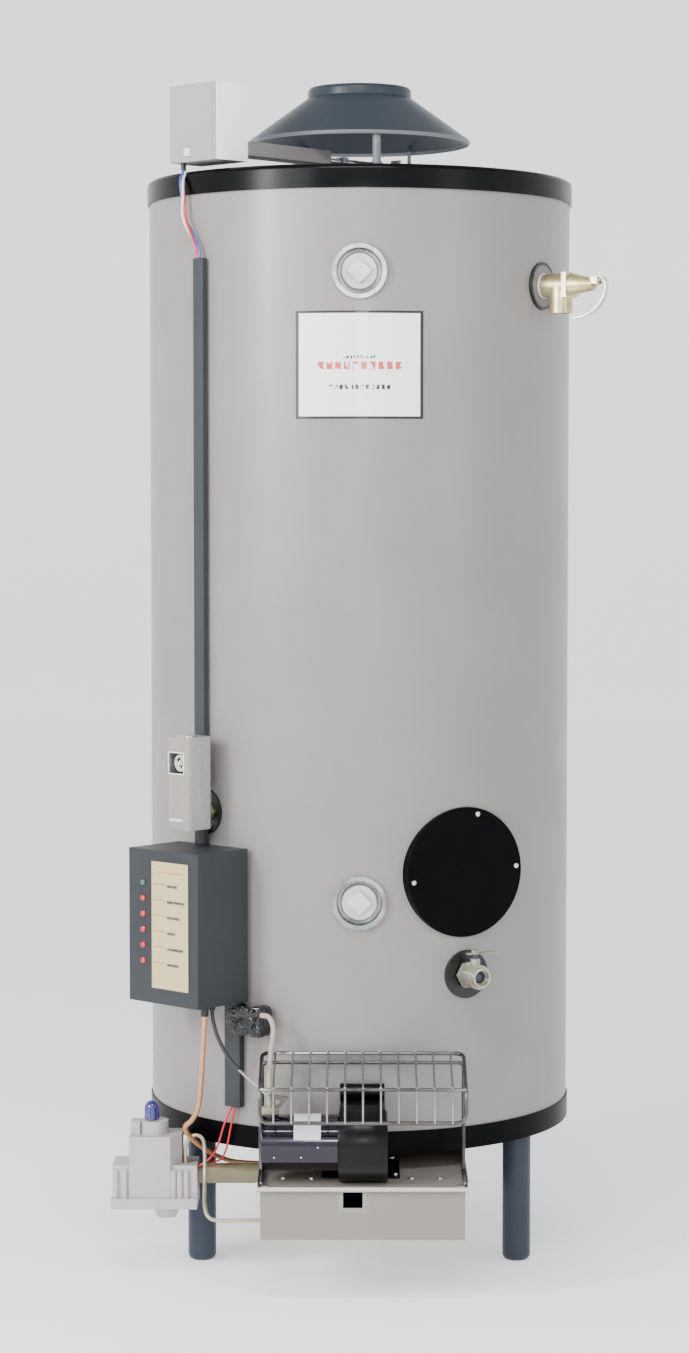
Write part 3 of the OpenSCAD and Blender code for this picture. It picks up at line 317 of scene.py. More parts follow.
def spangledZinc(name):
    # zinc flowers: flat cells of slightly different grey
    shade = Shade(name)
    cell = shade.cells(120, "F1", 1)
    grey = Value(shade, shade.node("ShaderNodeSeparateColor", {}, {0: cell}).outputs[0])
    colour = shade.between(grey, tint(*zinc["colour"]), tint(*zinc["dark"]))
    rough = zinc["rough"] + grey * 0.18 + shade.noise(400) * 0.06
    return shade.finish(colour=colour, rough=rough, metal=1.0,
                        normal=shade.bump(shade.noise(500, 3) + grey * 0.3, 0.12, 0.0003))


# Plastics, rubber and films

def moulded(name, colour, rough=0.4, coat=0.0, grain=1400.0, relief=0.2):
    shade = Shade(name)
    fine = shade.noise(grain, 2)
    dust = shade.noise(35, 5, 0.7)
    pale = tuple(min(255, c + 22) for c in colour)
    return shade.finish(
        colour=shade.between(dust.ramp(0.5, 0.8) * 0.6, tint(*colour), tint(*pale)),
        rough=rough + (dust - 0.5) * 0.2 + fine * 0.06, coat=coat,
        normal=shade.bump(fine + dust * 0.5, relief, 0.0003))


labelInk = {"half": 0.0950, "low": 1.317, "high": 1.477, "rim": 0.0036,
            # height, half width, half thickness and ink colour of each row of marks
            "rows": ((1.4085, 0.026, 0.0022, (34, 34, 40)), (1.3960, 0.066, 0.0056, (196, 70, 80)),
                     (1.3640, 0.047, 0.0034, (26, 26, 30)))}


def ratingFilm():
    # white film, a black rim, and rows of short upright strokes where print would be
    shade = Shade("ratingFilm")
    mid = (labelInk["low"] + labelInk["high"]) / 2
    reach = (labelInk["high"] - labelInk["low"]) / 2 - labelInk["rim"]
    rim = (shade.z - mid).size().above(reach)
    side = shade.x.size().above(labelInk["half"] - labelInk["rim"] - 0.001)
    colour = shade.between(shade.noise(9, 3), tint(242, 242, 242), tint(236, 235, 235))
    for level, wide, tall, ink in labelInk["rows"]:
        row = (shade.z - level).size().below(tall) * shade.x.size().below(wide)
        stroke = (shade.x / (tall * 2.3)).part().between(0.18, 0.86)
        notch = shade.noise(1, 1, 0.5, shade.stretched((0.7 / tall, 0, 0.5 / tall))).below(0.56)
        colour = shade.between(row * stroke * notch, colour, tint(*ink))
    colour = shade.between(rim.larger(side), colour, tint(8, 8, 10))
    return shade.finish(colour=colour, rough=0.34 + shade.noise(80) * 0.15, coat=0.2,
                        normal=shade.bump(shade.noise(30, 4), 0.08, 0.0006))


panelInk = {"azimuth": -41.8, "left": -0.0247, "right": 0.0543, "low": 0.459, "high": 0.653,
            "top": 0.6184, "step": 0.0238, "rows": 6}


def panelFilm():
    # cream film: beside each lamp a thin rule, then a dark bar of its own length
    shade = Shade("panelFilm")
    side = shade.along(panelInk["azimuth"])
    count = (panelInk["top"] + panelInk["step"] / 2 - shade.z) / panelInk["step"]
    place = count.part() - 0.5
    row = count - count.part()
    used = count.between(0, panelInk["rows"])
    rule = place.size().below(0.026) * side.between(-0.0205, 0.0045) * used
    reach = (row * 0.618 + 0.25).part() * 0.026 + 0.024
    word = (place - 0.09).size().below(0.085) * side.above(0.0085) * (reach - side).above(0) * used
    broken = shade.noise(900, 2).above(0.4)
    head = ((shade.z - 0.6365).size().below(0.0012)) * side.between(-0.012, 0.042)
    colour = shade.between(shade.noise(25, 4), tint(196, 180, 136), tint(184, 166, 122))
    colour = shade.between(rule * row.above(0.5), colour, tint(188, 72, 54))
    colour = shade.between(rule * row.below(0.5), colour, tint(60, 66, 62))
    colour = shade.between(word * broken, colour, tint(24, 34, 40))
    colour = shade.between(head * 0.6, colour, tint(176, 84, 66))
    middle = (panelInk["left"] + panelInk["right"]) / 2
    level = (panelInk["low"] + panelInk["high"]) / 2
    rim = (side - middle).size().above((panelInk["right"] - panelInk["left"]) / 2 - 0.0008).larger(
        (shade.z - level).size().above((panelInk["high"] - panelInk["low"]) / 2 - 0.0008))
    colour = shade.between(rim, colour, tint(38, 40, 40))
    return shade.finish(colour=colour, rough=0.42 + shade.noise(70) * 0.1, coat=0.1,
                        normal=shade.bump(shade.noise(500), 0.05, 0.0002))


def lampGlass():
    # the top lens is green, those below it are red
    shade = Shade("lampGlass")
    top = shade.z.above(0.6065)
    colour = shade.between(top, tint(176, 22, 34), tint(8, 92, 48))
    pale = shade.noise(240, 2).ramp(0.5, 0.8) * 0.3
    return shade.finish(colour=shade.between(pale, colour, tint(214, 120, 118)),
                        rough=0.14 + shade.noise(300) * 0.05, coat=0.5, glow=colour, glowStrength=0.06)


trims = {"plain": 0.05, "relief": (56.9, 1.5225, 0.0315)}


def trimRings():
    # black rubber; the plug rings on the centre line are plated, the relief ring's face is grey
    shade = Shade("trimRings")
    plated = shade.x.size().below(trims["plain"])
    azimuth, level, rim = trims["relief"]
    side = shade.along(azimuth)
    away = (side * side + (shade.z - level) * (shade.z - level)).math("SQRT")
    grey = shade.z.above(1.4) * shade.x.above(0.2) * away.below(rim)
    black = shade.between(shade.noise(60, 4), tint(3, 4, 5), tint(8, 9, 11))
    plate = shade.between(shade.noise(34, 5).ramp(0.35, 0.7), tint(176, 182, 178), tint(122, 130, 134))
    colour = shade.between(plated, shade.between(grey, black, tint(104, 105, 108)), plate)
    return shade.finish(colour=colour, rough=0.3 + shade.noise(50, 3) * 0.12 - plated * 0.08,
                        metal=plated * 0.9, normal=shade.bump(shade.noise(200, 4), 0.14, 0.0005))


caseSkin = {"azimuth": -41.8, "front": 0.4088, "face": (146, 139, 131), "side": (170, 171, 174)}


def hammeredCase():
    # silver hammered enamel, and a beige front
    shade = Shade("hammeredCase")
    front = shade.out(caseSkin["azimuth"]).ramp(caseSkin["front"] - 0.0012, caseSkin["front"])
    dimple = shade.cells(420)
    side = shade.between(shade.noise(500, 3).ramp(0.35, 0.7), tint(*caseSkin["side"]), tint(146, 148, 152))
    colour = shade.between(front, side, shade.between(shade.noise(90, 4), tint(*caseSkin["face"]),
                                                      tint(134, 127, 120)))
    return shade.finish(colour=colour, rough=0.32 + front * 0.14 + dimple * 0.1, metal=0.45 - front * 0.35,
                        coat=0.3, normal=shade.bump(dimple, 0.14, 0.0006))


# sideways place, height, half width and half height of each mark
dialInk = {"azimuth": -41.8,
           "marks": ((-0.0062, 0.8038, 0.0046, 0.0046), (-0.0016, 0.7938, 0.0026, 0.0040))}


def dialFace():
    # cream face with black diamonds: sums of the two distances from each middle
    shade = Shade("dialFace")
    side = shade.along(dialInk["azimuth"])
    colour = shade.between(shade.noise(120, 3), tint(214, 208, 196), tint(196, 190, 178))
    for middle, level, wide, tall in dialInk["marks"]:
        inside = ((side - middle).size() / wide + (shade.z - level).size() / tall).below(1.0)
        colour = shade.between(inside, colour, tint(12, 12, 14))
    return shade.finish(colour=colour, rough=0.35 + shade.noise(300) * 0.1, coat=0.2,
                        normal=shade.bump(shade.noise(700), 0.1, 0.0002))


def foamBlock():
    shade = Shade("foamBlock")
    bubble = shade.cells(220)
    colour = shade.between(shade.noise(12, 5).ramp(0.3, 0.7), tint(226, 204, 150), tint(186, 158, 100))
    return shade.finish(colour=colour, rough=0.85 + bubble * 0.1,
                        normal=shade.bump(bubble, 0.7, 0.002))


def circuitBoard():
    shade = Shade("circuitBoard")
    tracks = (shade.z * 260).part().between(0.4, 0.6) * shade.noise(90, 1).above(0.5)
    colour = shade.between(tracks, tint(24, 86, 52), tint(120, 150, 70))
    return shade.finish(colour=colour, rough=0.35 + shade.noise(60) * 0.2,
                        normal=shade.bump(tracks, 0.4, 0.0002))


def ribbedSheath(name, finish, metal):
    # a wound metal sheath: fine ridges along the lead from its own UV map
    shade = Shade(name)
    along = shade.node("ShaderNodeUVMap", {"uv_map": "along"}).outputs[0]
    split = shade.node("ShaderNodeSeparateXYZ", {}, {0: along})
    wave = (Value(shade, split.outputs[1]) * 260 + Value(shade, split.outputs[0])).part()
    ridge = (wave - 0.5).size() * 2
    colour = shade.between(ridge.ramp(0.55, 1.0), tint(*finish["colour"]), tint(*finish["dark"]))
    rough = finish["rough"] + shade.noise(300) * 0.15
    return shade.finish(colour=colour, rough=rough, metal=metal,
                        normal=shade.bump(1 - ridge, 0.6, 0.0008))


materials = {
    "jacket": enamel("jacketPaint", jacketPaint, 1100, 0.07),
    "black": enamel("blackPaint", blackPaint, 1500, 0.2),
    "cap": enamel("capPaint", capPaint, 1500, 0.12),
    "hood": enamel("hoodPaint", hoodPaint, 900, 0.12, rolledRim),
    "legs": enamel("legPaint", legPaint),
    "box": enamel("boxPaint", boxPaint),
    "light": enamel("lightPaint", lightPaint, change=paintedLitSideAndFold),
    "strap": enamel("strapPaint", strapPaint),
    "tray": enamel("trayPaint", trayPaint, 1300, 0.16, trayMarks),
    "raceway": enamel("racewayPaint", racewayPaint),
    "pipe": enamel("pipePaint", pipePaint),
    "motor": glossMotor(),
    "scroll": enamel("scrollPaint", scrollPaint, 700, 0.08),
    "alloy": enamel("alloyPaint", {"colour": (176, 172, 172), "dark": (164, 160, 160), "rough": 0.5,
                                   "coat": 0.1}, 520, 0.3),
    "zinc": spangledZinc("spangledZinc"),
    "bright": bareMetal("brightMetal", bright, cast=0.08),
    "plug": bareMetal("plugMetal", {"colour": (196, 192, 200), "dark": (168, 166, 176), "rough": 0.4},
                      0.35, cast=0.15),
    "brass": bareMetal("brassCast", brassCast, 0.85, cast=0.2),
    "drain": bareMetal("drainBrass", drainBrass, 0.6, cast=0.3),
    "nickel": bareMetal("nickelTube", nickel, 0.5, cast=0.08),
    "steel": bareMetal("steelDrawn", steelDrawn, rust=0.5),
    "wire": bareMetal("wireChrome", wireChrome, 0.9, cast=0.1, rust=0.45),
    "copper": ribbedSheath("copperSheath", copperSheath, 0.6),
    "trim": trimRings(),
    "case": hammeredCase(),
    "dial": dialFace(),
    "rubber": moulded("blackRubber", (10, 11, 12), 0.45),
    "gloss": moulded("glossBlack", (5, 8, 12), 0.22, 0.1, 200, 0.5),
    "cable": moulded("cableSkin", (22, 24, 24), 0.4),
    "cream": moulded("creamTube", (152, 145, 128), 0.38, 0.2),
    "red": moulded("redWire", (196, 22, 32), 0.32, 0.3),
    "blue": moulded("blueWire", (52, 74, 150), 0.32, 0.3),
    "white": moulded("whitePlastic", (206, 207, 210), 0.35, 0.3),
    "knob": moulded("knobPlastic", (40, 36, 108), 0.22, 0.7, 900, 0.1),
    "brown": moulded("brownClip", (74, 66, 62), 0.4, 0.3),
    "panel": panelFilm(),
    "dark": moulded("darkBore", (52, 62, 68), 0.5),
    "label": ratingFilm(),
    "lamp": lampGlass(),
    "foam": foamBlock(),
    "board": circuitBoard(),
}
print("materials made,", len(materials))


# Mesh makers

def keep(name, mesh, material, body, node=None):
    shown = bpy.data.objects.new(name, mesh)
    bpy.context.scene.collection.objects.link(shown)
    mesh.materials.clear()
    mesh.materials.append(materials[material])
    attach(shown, body)
    if node:
        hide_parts(node)
    return shown


def closed(mesh, merge=1e-6, sharp=38):
    # seams and poles are merged, faces turned outwards, and creases kept sharp
    work = bmesh.new()
    work.from_mesh(mesh)
    bmesh.ops.remove_doubles(work, verts=work.verts, dist=merge)
    bmesh.ops.recalc_face_normals(work, faces=work.faces)
    for edge in work.edges:
        edge.smooth = len(edge.link_faces) == 2 and edge.calc_face_angle(3.2) < math.radians(sharp)
    for face in work.faces:
        face.smooth = True
    work.to_mesh(mesh)
    work.free()
    return mesh


def gridMesh(name, grid, around=False, uv=None):
    # a grid of points, rows by columns, as quads; the last column joins the first when around
    rows, columns = grid.shape[:2]
    i, j = np.meshgrid(np.arange(rows - 1), np.arange(columns if around else columns - 1), indexing="ij")
    nextColumn = (j + 1) % columns
    quads = np.stack([i * columns + j, i * columns + nextColumn,
                      (i + 1) * columns + nextColumn, (i + 1) * columns + j], -1).reshape(-1, 4)
    mesh = bpy.data.meshes.new(name)
    mesh.from_pydata(grid.reshape(-1, 3).tolist(), [], quads.tolist())
    if uv is not None:
        layer = mesh.uv_layers.new(name="along")
        corners = np.zeros(len(mesh.loops), np.int32)
        mesh.loops.foreach_get("vertex_index", corners)
        layer.data.foreach_set("uv", uv.reshape(-1, 2)[corners].ravel())
    return mesh


def smoothPath(points, steps=10):
    # Catmull-Rom: each stretch is a cubic through its ends, with tangents from their neighbours
    p = np.array(points, float)
    a, b, c, d = p[np.r_[0, 0:len(p) - 2]], p[:-1], p[1:], p[np.r_[2:len(p), len(p) - 1]]
    t = (np.arange(steps) / steps)[None, :, None]
    a, b, c, d = (q[:, None, :] for q in (a, b, c, d))
    curve = 0.5 * (2 * b + (c - a) * t + (2 * a - 5 * b + 4 * c - d) * t ** 2
                   + (3 * b - a - 3 * c + d) * t ** 3)
    return np.vstack([curve.reshape(-1, 3), p[-1:]])


def roundedPath(points, radius, steps=8):
    # straight runs whose corners are quadratic bends that start a radius before each corner
    p = np.array(points, float)
    path = [p[0]]
    for before, corner, after in zip(p[:-2], p[1:-1], p[2:]):
        inward = corner - before
        outward = after - corner
        start = corner - inward / np.linalg.norm(inward) * min(radius, np.linalg.norm(inward) / 2)
        end = corner + outward / np.linalg.norm(outward) * min(radius, np.linalg.norm(outward) / 2)
        t = np.linspace(0, 1, steps)[:, None]
        path.extend((1 - t) ** 2 * start + 2 * t * (1 - t) * corner + t ** 2 * end)
    path.append(p[-1])
    return np.array(path)


def sweptFrames(path):
    # tangents along the path, and a side and an up that turn as little as they can
    tangent = np.gradient(path, axis=0)
    tangent /= np.linalg.norm(tangent, axis=1)[:, None]
    start = np.array([0, 0, 1.0]) if abs(tangent[0][2]) < 0.9 else np.array([0, 1.0, 0])
    sides = []
    side = np.cross(tangent[0], start)
    for t in tangent:
        side = side - t * side.dot(t)
        side = side / np.linalg.norm(side)
        sides.append(side)
    side = np.array(sides)
    return tangent, side, np.cross(tangent, side)


def tube(name, path, radius, sides=14, offset=(0, 0), twist=0.0, thickness=None):
    # circles carried along the path, with round closed ends; offset and twist wind it round the path
    path = np.asarray(path, float)
    tangent, side, up = sweptFrames(path)
    length = np.r_[0, np.cumsum(np.linalg.norm(np.diff(path, axis=0), axis=1))]
    turn = length * twist
    right, rise = offset
    centre = path + side * (right * np.cos(turn) - rise * np.sin(turn))[:, None] \
        + up * (right * np.sin(turn) + rise * np.cos(turn))[:, None]
    r = np.full(len(path), radius) if thickness is None else radius * thickness(length / length[-1])
    angle = np.linspace(0, 2 * np.pi, sides + 1)[None, :]
    ring = side[:, None, :] * np.cos(angle)[..., None] + up[:, None, :] * np.sin(angle)[..., None]
    body = centre[:, None, :] + ring * r[:, None, None]
    capStart = centre[0] + (ring[:1] * r[0]) * 0.6 - tangent[0] * radius * 0.35
    capEnd = centre[-1] + (ring[-1:] * r[-1]) * 0.6 + tangent[-1] * radius * 0.35
    tipStart = np.repeat((centre[0] - tangent[0] * radius * 0.5)[None, None], sides + 1, 1)
    tipEnd = np.repeat((centre[-1] + tangent[-1] * radius * 0.5)[None, None], sides + 1, 1)
    grid = np.vstack([tipStart, capStart, body, capEnd, tipEnd])
    v = np.r_[0, 0, length, length[-1], length[-1]][:, None] * np.ones((1, sides + 1))
    u = np.ones((len(v), 1)) * angle / (2 * np.pi)
    return closed(gridMesh(name, grid, uv=np.stack([u, v], -1)), 1e-7, 60)


def turned(name, profile, centre=(0, 0, 0), axis=(0, 0, 1), steps=96):
    # a profile of radius and distance along the axis, turned round it
    profile = np.array(profile, float)
    spin = np.array(axis, float) / np.linalg.norm(axis)
    across = np.cross(spin, (0, 0, 1.0) if abs(spin[2]) < 0.9 else (1.0, 0, 0))
    across /= np.linalg.norm(across)
    other = np.cross(spin, across)
    angle = np.linspace(0, 2 * np.pi, steps + 1)[:-1]
    ring = across * np.cos(angle)[:, None] + other * np.sin(angle)[:, None]
    grid = np.array(centre) + profile[:, None, :1] * ring[None] + profile[:, None, 1:] * spin
    return closed(gridMesh(name, grid, around=True))


def joined(name, meshes):
    work = bmesh.new()
    for mesh in meshes:
        work.from_mesh(mesh)
    result = bpy.data.meshes.new(name)
    work.to_mesh(result)
    work.free()
    for mesh in meshes:
        bpy.data.meshes.remove(mesh)
    return result


def slab(name, outline, low, high, edge, frameOf=None):
    # an outline drawn in a plane, thickened from low to high, with rims cut back by edge
    shape = np.array(outline, float)
    middle = shape.mean(0)
    reach = np.abs(shape - middle).max(0)
    inner = middle + (shape - middle) * (1 - edge / reach)
    rings = [(inner * 0 + middle, low), (inner, low), (shape, low + edge), (shape, high - edge),
             (inner, high), (inner * 0 + middle, high)]
    grid = np.array([np.column_stack([np.full(len(ring), level), ring]) for ring, level in rings])
    if frameOf is not None:
        grid = grid @ np.array(frameOf[:3]) + np.array(frameOf[3])
    return closed(gridMesh(name, grid, around=True), 1e-7)


def ringSlab(name, outer, inner, low, high, frameOf=None):
    # two outlines of as many points: a flat ring between them, thickened from low to high
    pair = [(outer, low), (outer, high), (inner, high), (inner, low), (outer, low)]
    grid = np.array([np.column_stack([np.full(len(ring), level), np.array(ring, float)])
                     for ring, level in pair])
    if frameOf is not None:
        grid = grid @ np.array(frameOf[:3]) + np.array(frameOf[3])
    return closed(gridMesh(name, grid, around=True), 1e-7)


def roundedOutline(wide, tall, radius, steps=6, centre=(0, 0)):
    # quarter circles round the four corners of a rectangle
    turn = np.linspace(0, math.pi / 2, steps)
    corners = [(1, 1, 0), (-1, 1, 1), (-1, -1, 2), (1, -1, 3)]
    points = [(centre[0] + sx * (wide / 2 - radius) + radius * math.cos(t + q * math.pi / 2),
               centre[1] + sy * (tall / 2 - radius) + radius * math.sin(t + q * math.pi / 2))
              for sx, sy, q in corners for t in turn]
    return np.array(points)


def outwardFrame(azimuth):
    # outward and sideways directions on the jacket at an azimuth from the front
    a = math.radians(azimuth)
    return np.array([math.sin(a), -math.cos(a), 0]), np.array([math.cos(a), math.sin(a), 0])


def wallPoint(azimuth, out, side, height):
    outward, sideways = outwardFrame(azimuth)
    return outward * out + sideways * side + np.array([0, 0, height])


def wallFrame(azimuth, out=0.0, side=0.0, height=0.0):
    # rows turn a slab's thickness, width and height into outward, sideways and up
    outward, sideways = outwardFrame(azimuth)
    return outward, sideways, np.array([0, 0, 1.0]), wallPoint(azimuth, out, side, height)


# CAD nodes whose shape is right: a merged copy with softened edges stands for each one

softened = {
    # node: (material, width of the softened edge in metres)
    "jacket": ("jacket", 0), "top_cover": ("cap", 0), "base_pan": ("black", 0.0006),
    "legs": ("legs", 0), "insulation": ("foam", 0), "tank_shell": ("steel", 0),
    "flue_tubes": ("steel", 0), "flue_baffles": ("steel", 0), "anode_rods": ("bright", 0),
    "flue_collector": ("zinc", 0), "draft_hood": ("hood", 0), "damper_housing": ("zinc", 0.0004),
    "damper_blade": ("zinc", 0.0004), "damper_shaft": ("bright", 0.0004),
    "damper_bracket": ("strap", 0.0006), "actuator_cover": ("light", 0.0016),
    "actuator_motor": ("box", 0.001), "service_button": ("white", 0.001),
    "cable_glands": ("rubber", 0.0006), "raceways": ("raceway", 0.0012),
    "opening_trims": ("trim", 0.0008), "access_plugs": ("plug", 0.0012),
    "label_plate": ("label", 0), "handhole_plate": ("steel", 0.0008),
    "handhole_cover": ("black", 0.0012), "fasteners": ("bright", 0),
    "thermostat_base": ("zinc", 0), "thermostat_cover": ("case", 0.0014),
    "thermostat_dial": ("dial", 0.0005), "thermostat_well": ("brass", 0.0006),
    "control_back": ("zinc", 0), "control_cover": ("box", 0.0014),
    "status_panel": ("panel", 0.0003), "status_lamps": ("lamp", 0),
    "control_modules": ("board", 0.0006), "relief_body": ("brass", 0.0008),
    "relief_lever": ("bright", 0.0004), "relief_stem": ("brass", 0.0004),
    "drain_body": ("drain", 0.001), "drain_ball": ("dark", 0), "drain_handle": ("drain", 0.0004),
    "gas_valve_body": ("alloy", 0.0016), "gas_cock": ("brass", 0.0006), "gas_knob": ("knob", 0.0008),
    "manifold_pipe": ("pipe", 0.0006),
    "blower_wheel": ("zinc", 0), "motor_shell": ("motor", 0.001),
    "motor_rotor": ("steel", 0), "burner_tray": ("tray", 0.0012), "burner_plate": ("tray", 0.0006),
    "burner_tubes": ("steel", 0.0004),
}
bodyOf = {name: body for body, names in frame["record"]["behaviour"]["bodies"].items() for name in names}


def softCopy(node, material, width):
    mesh = nodes[node].data.copy()
    work = bmesh.new()
    work.from_mesh(mesh)
    bmesh.ops.remove_doubles(work, verts=work.verts, dist=2e-6)
    bmesh.ops.dissolve_limit(work, angle_limit=math.radians(1), verts=work.verts, edges=work.edges)
    for edge in work.edges:
        edge.smooth = len(edge.link_faces) == 2 and edge.calc_face_angle(3.2) < math.radians(32)
    for face in work.faces:
        face.smooth = True
    work.to_mesh(mesh)
    work.free()
    shown = keep(node + ".soft", mesh, material, bodyOf[node], node)
    if width:
        bevel = shown.modifiers.new("softEdges", "BEVEL")
        bevel.width = width
        bevel.segments = 2
        bevel.limit_method = "ANGLE"
        bevel.angle_limit = math.radians(32)
        bevel.harden_normals = True
    return shown


for node, (material, width) in softened.items():
    softCopy(node, material, width)
print("softened copies made,", len(softened))


# Blower guard: plated rails with rounded corners, cross wires and a foot along each side

guard = {"left": -0.146, "right": 0.157, "rail": 0.0030, "wire": 0.0016, "bend": 0.016, "wires": 11,
         "tabLevels": (0.1823, 0.1835),
         "back": (-0.345, 0.365), "knee": (-0.466, 0.334), "front": (-0.470, 0.285),
         "foot": (-0.345, 0.1856), "toe": (-0.430, 0.1856), "inner": (-0.345, 0.351)}


def makeGuard():
    left, right, rail = guard["left"], guard["right"], guard["rail"]
    back, knee, front, inner = guard["back"], guard["knee"], guard["front"], guard["inner"]
    foot, toe = guard["foot"], guard["toe"]
    loop = [(left + 0.02, *back), (left, *back), (left, *knee), (left, *front), (right, *front),
            (right, *knee), (right, *back), (left + 0.02, *back)]
    meshes = [tube("rail", roundedPath(loop, guard["bend"]), rail),
              tube("rail", np.linspace((left + 0.001, *knee), (right - 0.001, *knee), 12), rail * 0.85)]
    hoop = [(left, *toe), (left, *foot), (left, *inner), (right, *inner), (right, *foot), (right, *toe)]
    meshes.append(tube("hoop", roundedPath(hoop, 0.009), rail * 0.95))
    rest = rail * 0.6
    bead = [(0.0001, -0.0022), (0.0019, -0.0012), (0.0023, 0), (0.0019, 0.0012), (0.0001, 0.0022)]
    for x in np.linspace(left + 0.02, right - 0.02, guard["wires"]):
        path = roundedPath([(x, back[0], back[1] + rest), (x, knee[0], knee[1] + rest),
                            (x, front[0] - rest, front[1])], 0.006)
        meshes.append(tube("wire", path, guard["wire"], 10))
        for y, z in (back, knee):
            meshes.append(turned("bead", bead, (x, y, z + rest), (0, 1, 0), 10))
    low, high = guard["tabLevels"]
    tab = [(toe[0] - 0.004, low), (toe[0] + 0.008, low), (toe[0] + 0.008, high), (toe[0] - 0.004, high)]
    for start, end in ((left + 0.001, left + 0.011), (right - 0.011, right - 0.001)):
        meshes.append(slab("tab", tab, start, end, 0.0002))
    keep("bentGuard", joined("bentGuard", meshes), "wire", "heater", "blower_guard")


makeGuard()


# Blower: a drum, a narrower scroll over it, a rolled lip behind, and flanges on the plate

blower = {"centre": (-0.394, 0.240), "radius": 0.0577, "wide": (-0.031, 0.042), "narrow": (-0.029, 0.038),
          "lip": (-0.3483, 0.308, 0.0120), "plate": 0.1821, "back": -0.3363,
          "leftFlange": (-0.057, -0.031, -0.381, -0.315), "rightFlange": (0.041, 0.061, -0.381, -0.231),
          "screws": ((0.050, -0.253), (0.054, -0.365))}


def arc(radius, low, high, steps, centre):
    # points of a circle in the side plane, angles in degrees up from the front
    turn = np.radians(np.linspace(low, high, steps))
    return np.column_stack([centre[0] - radius * np.cos(turn), centre[1] + radius * np.sin(turn)])


def makeBlower():
    centre, radius, back = blower["centre"], blower["radius"], blower["back"]
    lipY, lipZ, lipR = blower["lip"]
    drum = np.vstack([[(back, blower["plate"])], arc(radius, -90, 40, 40, centre),
                      [(-0.40, 0.276), (back, 0.276)]])
    meshes = [slab("drum", drum, *blower["wide"], 0.0016)]
    scroll = np.vstack([[(back, 0.238)], arc(radius - 0.0006, 20, 84, 26, centre),
                        [(-0.368, 0.2985), (-0.356, 0.2965), (back, 0.2965)]])
    meshes.append(slab("scroll", scroll, *blower["narrow"], 0.0012))
    low, high = blower["narrow"]
    profile = [(0.0075, low + 0.004), (0.0080, low + 0.0006), (lipR - 0.001, low), (lipR, low + 0.0016),
               (lipR - 0.0007, (low + high) / 2), (lipR, high - 0.0016), (lipR - 0.001, high),
               (0.0080, high - 0.0006), (0.0075, high - 0.004)]
    meshes.append(turned("lip", profile, (0, lipY, lipZ), (1, 0, 0), 64))
    hem = arc(lipR + 0.0008, -70, -10, 12, (lipY, lipZ))
    hem = np.vstack([hem, arc(lipR - 0.001, -10, -70, 12, (lipY, lipZ))])
    meshes.append(slab("hem", hem, low + 0.0004, high - 0.0004, 0.0004))
    for left, right, front, rear in (blower["leftFlange"], blower["rightFlange"]):
        middle = ((left + right) / 2, (front + rear) / 2)
        foot = roundedOutline(right - left, rear - front, 0.004, 6, middle)
        turnUp = (np.array([0, 0, 1.0]), np.array([1.0, 0, 0]), np.array([0, 1.0, 0]), np.zeros(3))
        meshes.append(slab("flange", foot, blower["plate"], blower["plate"] + 0.003, 0.0004, turnUp))
    keep("blowerScroll", joined("blowerScroll", meshes), "scroll", "heater", "blower_housing")


def motorPatch(name, low, high, start, end, radius):
    # a piece of a cylinder round the motor's axis
    x = np.linspace(low, high, 12)
    turn = np.radians(np.linspace(start, end, 20))
    y = blower["centre"][0] - radius * np.cos(turn)
    z = blower["centre"][1] + radius * np.sin(turn)
    return gridMesh(name, np.stack(np.broadcast_arrays(x[:, None], y[None], z[None]), -1))


motorTrim = {"label": (-0.097, -0.057, 17, 104), "radius": 0.0421, "film": 0.0004,
             "rivets": ((-0.126, -20), (-0.086, -20), (-0.061, 2)), "size": 0.0015, "seat": 0.042}


def makeMotorTrim():
    low, high, start, end = motorTrim["label"]
    radius = motorTrim["radius"] + motorTrim["film"]
    label = keep("motorLabel", motorPatch("motorLabel", low, high, start, end, radius), "white",
                 "heater")
    solid = label.modifiers.new("film", "SOLIDIFY")
    solid.thickness = 0.0003
    cy, cz = blower["centre"]
    size, seat = motorTrim["size"], motorTrim["seat"]
    turns = np.linspace(0, 1.5, 6)
    dome = [(size, -0.0006)] + [(size * math.cos(t), size * 0.6 * math.sin(t)) for t in turns]
    heads = []
    for x, angle in motorTrim["rivets"]:
        turn = math.radians(angle)
        out = np.array([0, -math.cos(turn), math.sin(turn)])
        heads.append(turned("rivet", dome, np.array([x, cy, cz]) + out * seat, out, 20))
    keep("motorRivets", joined("motorRivets", heads), "bright", "heater")


makeBlower()
makeMotorTrim()


# Pressure switch: a round body and a connector, wrapped in film that stands in lumps

wrapped = {"azimuth": -30, "height": 0.409, "round": (0.3575, 0.0, 0.0100, 0.0246, 0.0246),
           "block": (0.3535, 0.031, 0.0185, 0.0138, 0.0246), "lump": 0.0011}


def lumpyShape(name, out, side, depth, wide, tall, power):
    # a superellipsoid, pushed in and out by a sum of sines of its own angles
    u = np.linspace(-math.pi / 2, math.pi / 2, 60)[:, None]
    v = np.linspace(0, 2 * math.pi, 97)[None, :-1]
    bent = lambda q, e: np.sign(q) * np.abs(q) ** e
    a = depth * bent(np.sin(u), 0.45) * np.ones_like(v)
    b = wide * bent(np.cos(u), 0.35) * bent(np.cos(v), power)
    c = tall * bent(np.cos(u), 0.35) * bent(np.sin(v), power)
    grid = np.stack([a, b, c], -1)
    lump = np.sin(7 * v + 3 * np.sin(4 * u)) * 0.5 + np.sin(11 * v + 9 * u + 1.3) * 0.35 \
        + np.sin(17 * u - 5 * v + 0.6) * 0.4
    size = np.linalg.norm(grid, axis=-1, keepdims=True)
    grid = grid * (1 - wrapped["lump"] * (1.25 - lump[..., None]) / size)
    turn = wallFrame(wrapped["azimuth"], out, side, wrapped["height"])
    return closed(gridMesh(name, grid @ np.array(turn[:3]) + turn[3], around=True), 1e-7, 50)


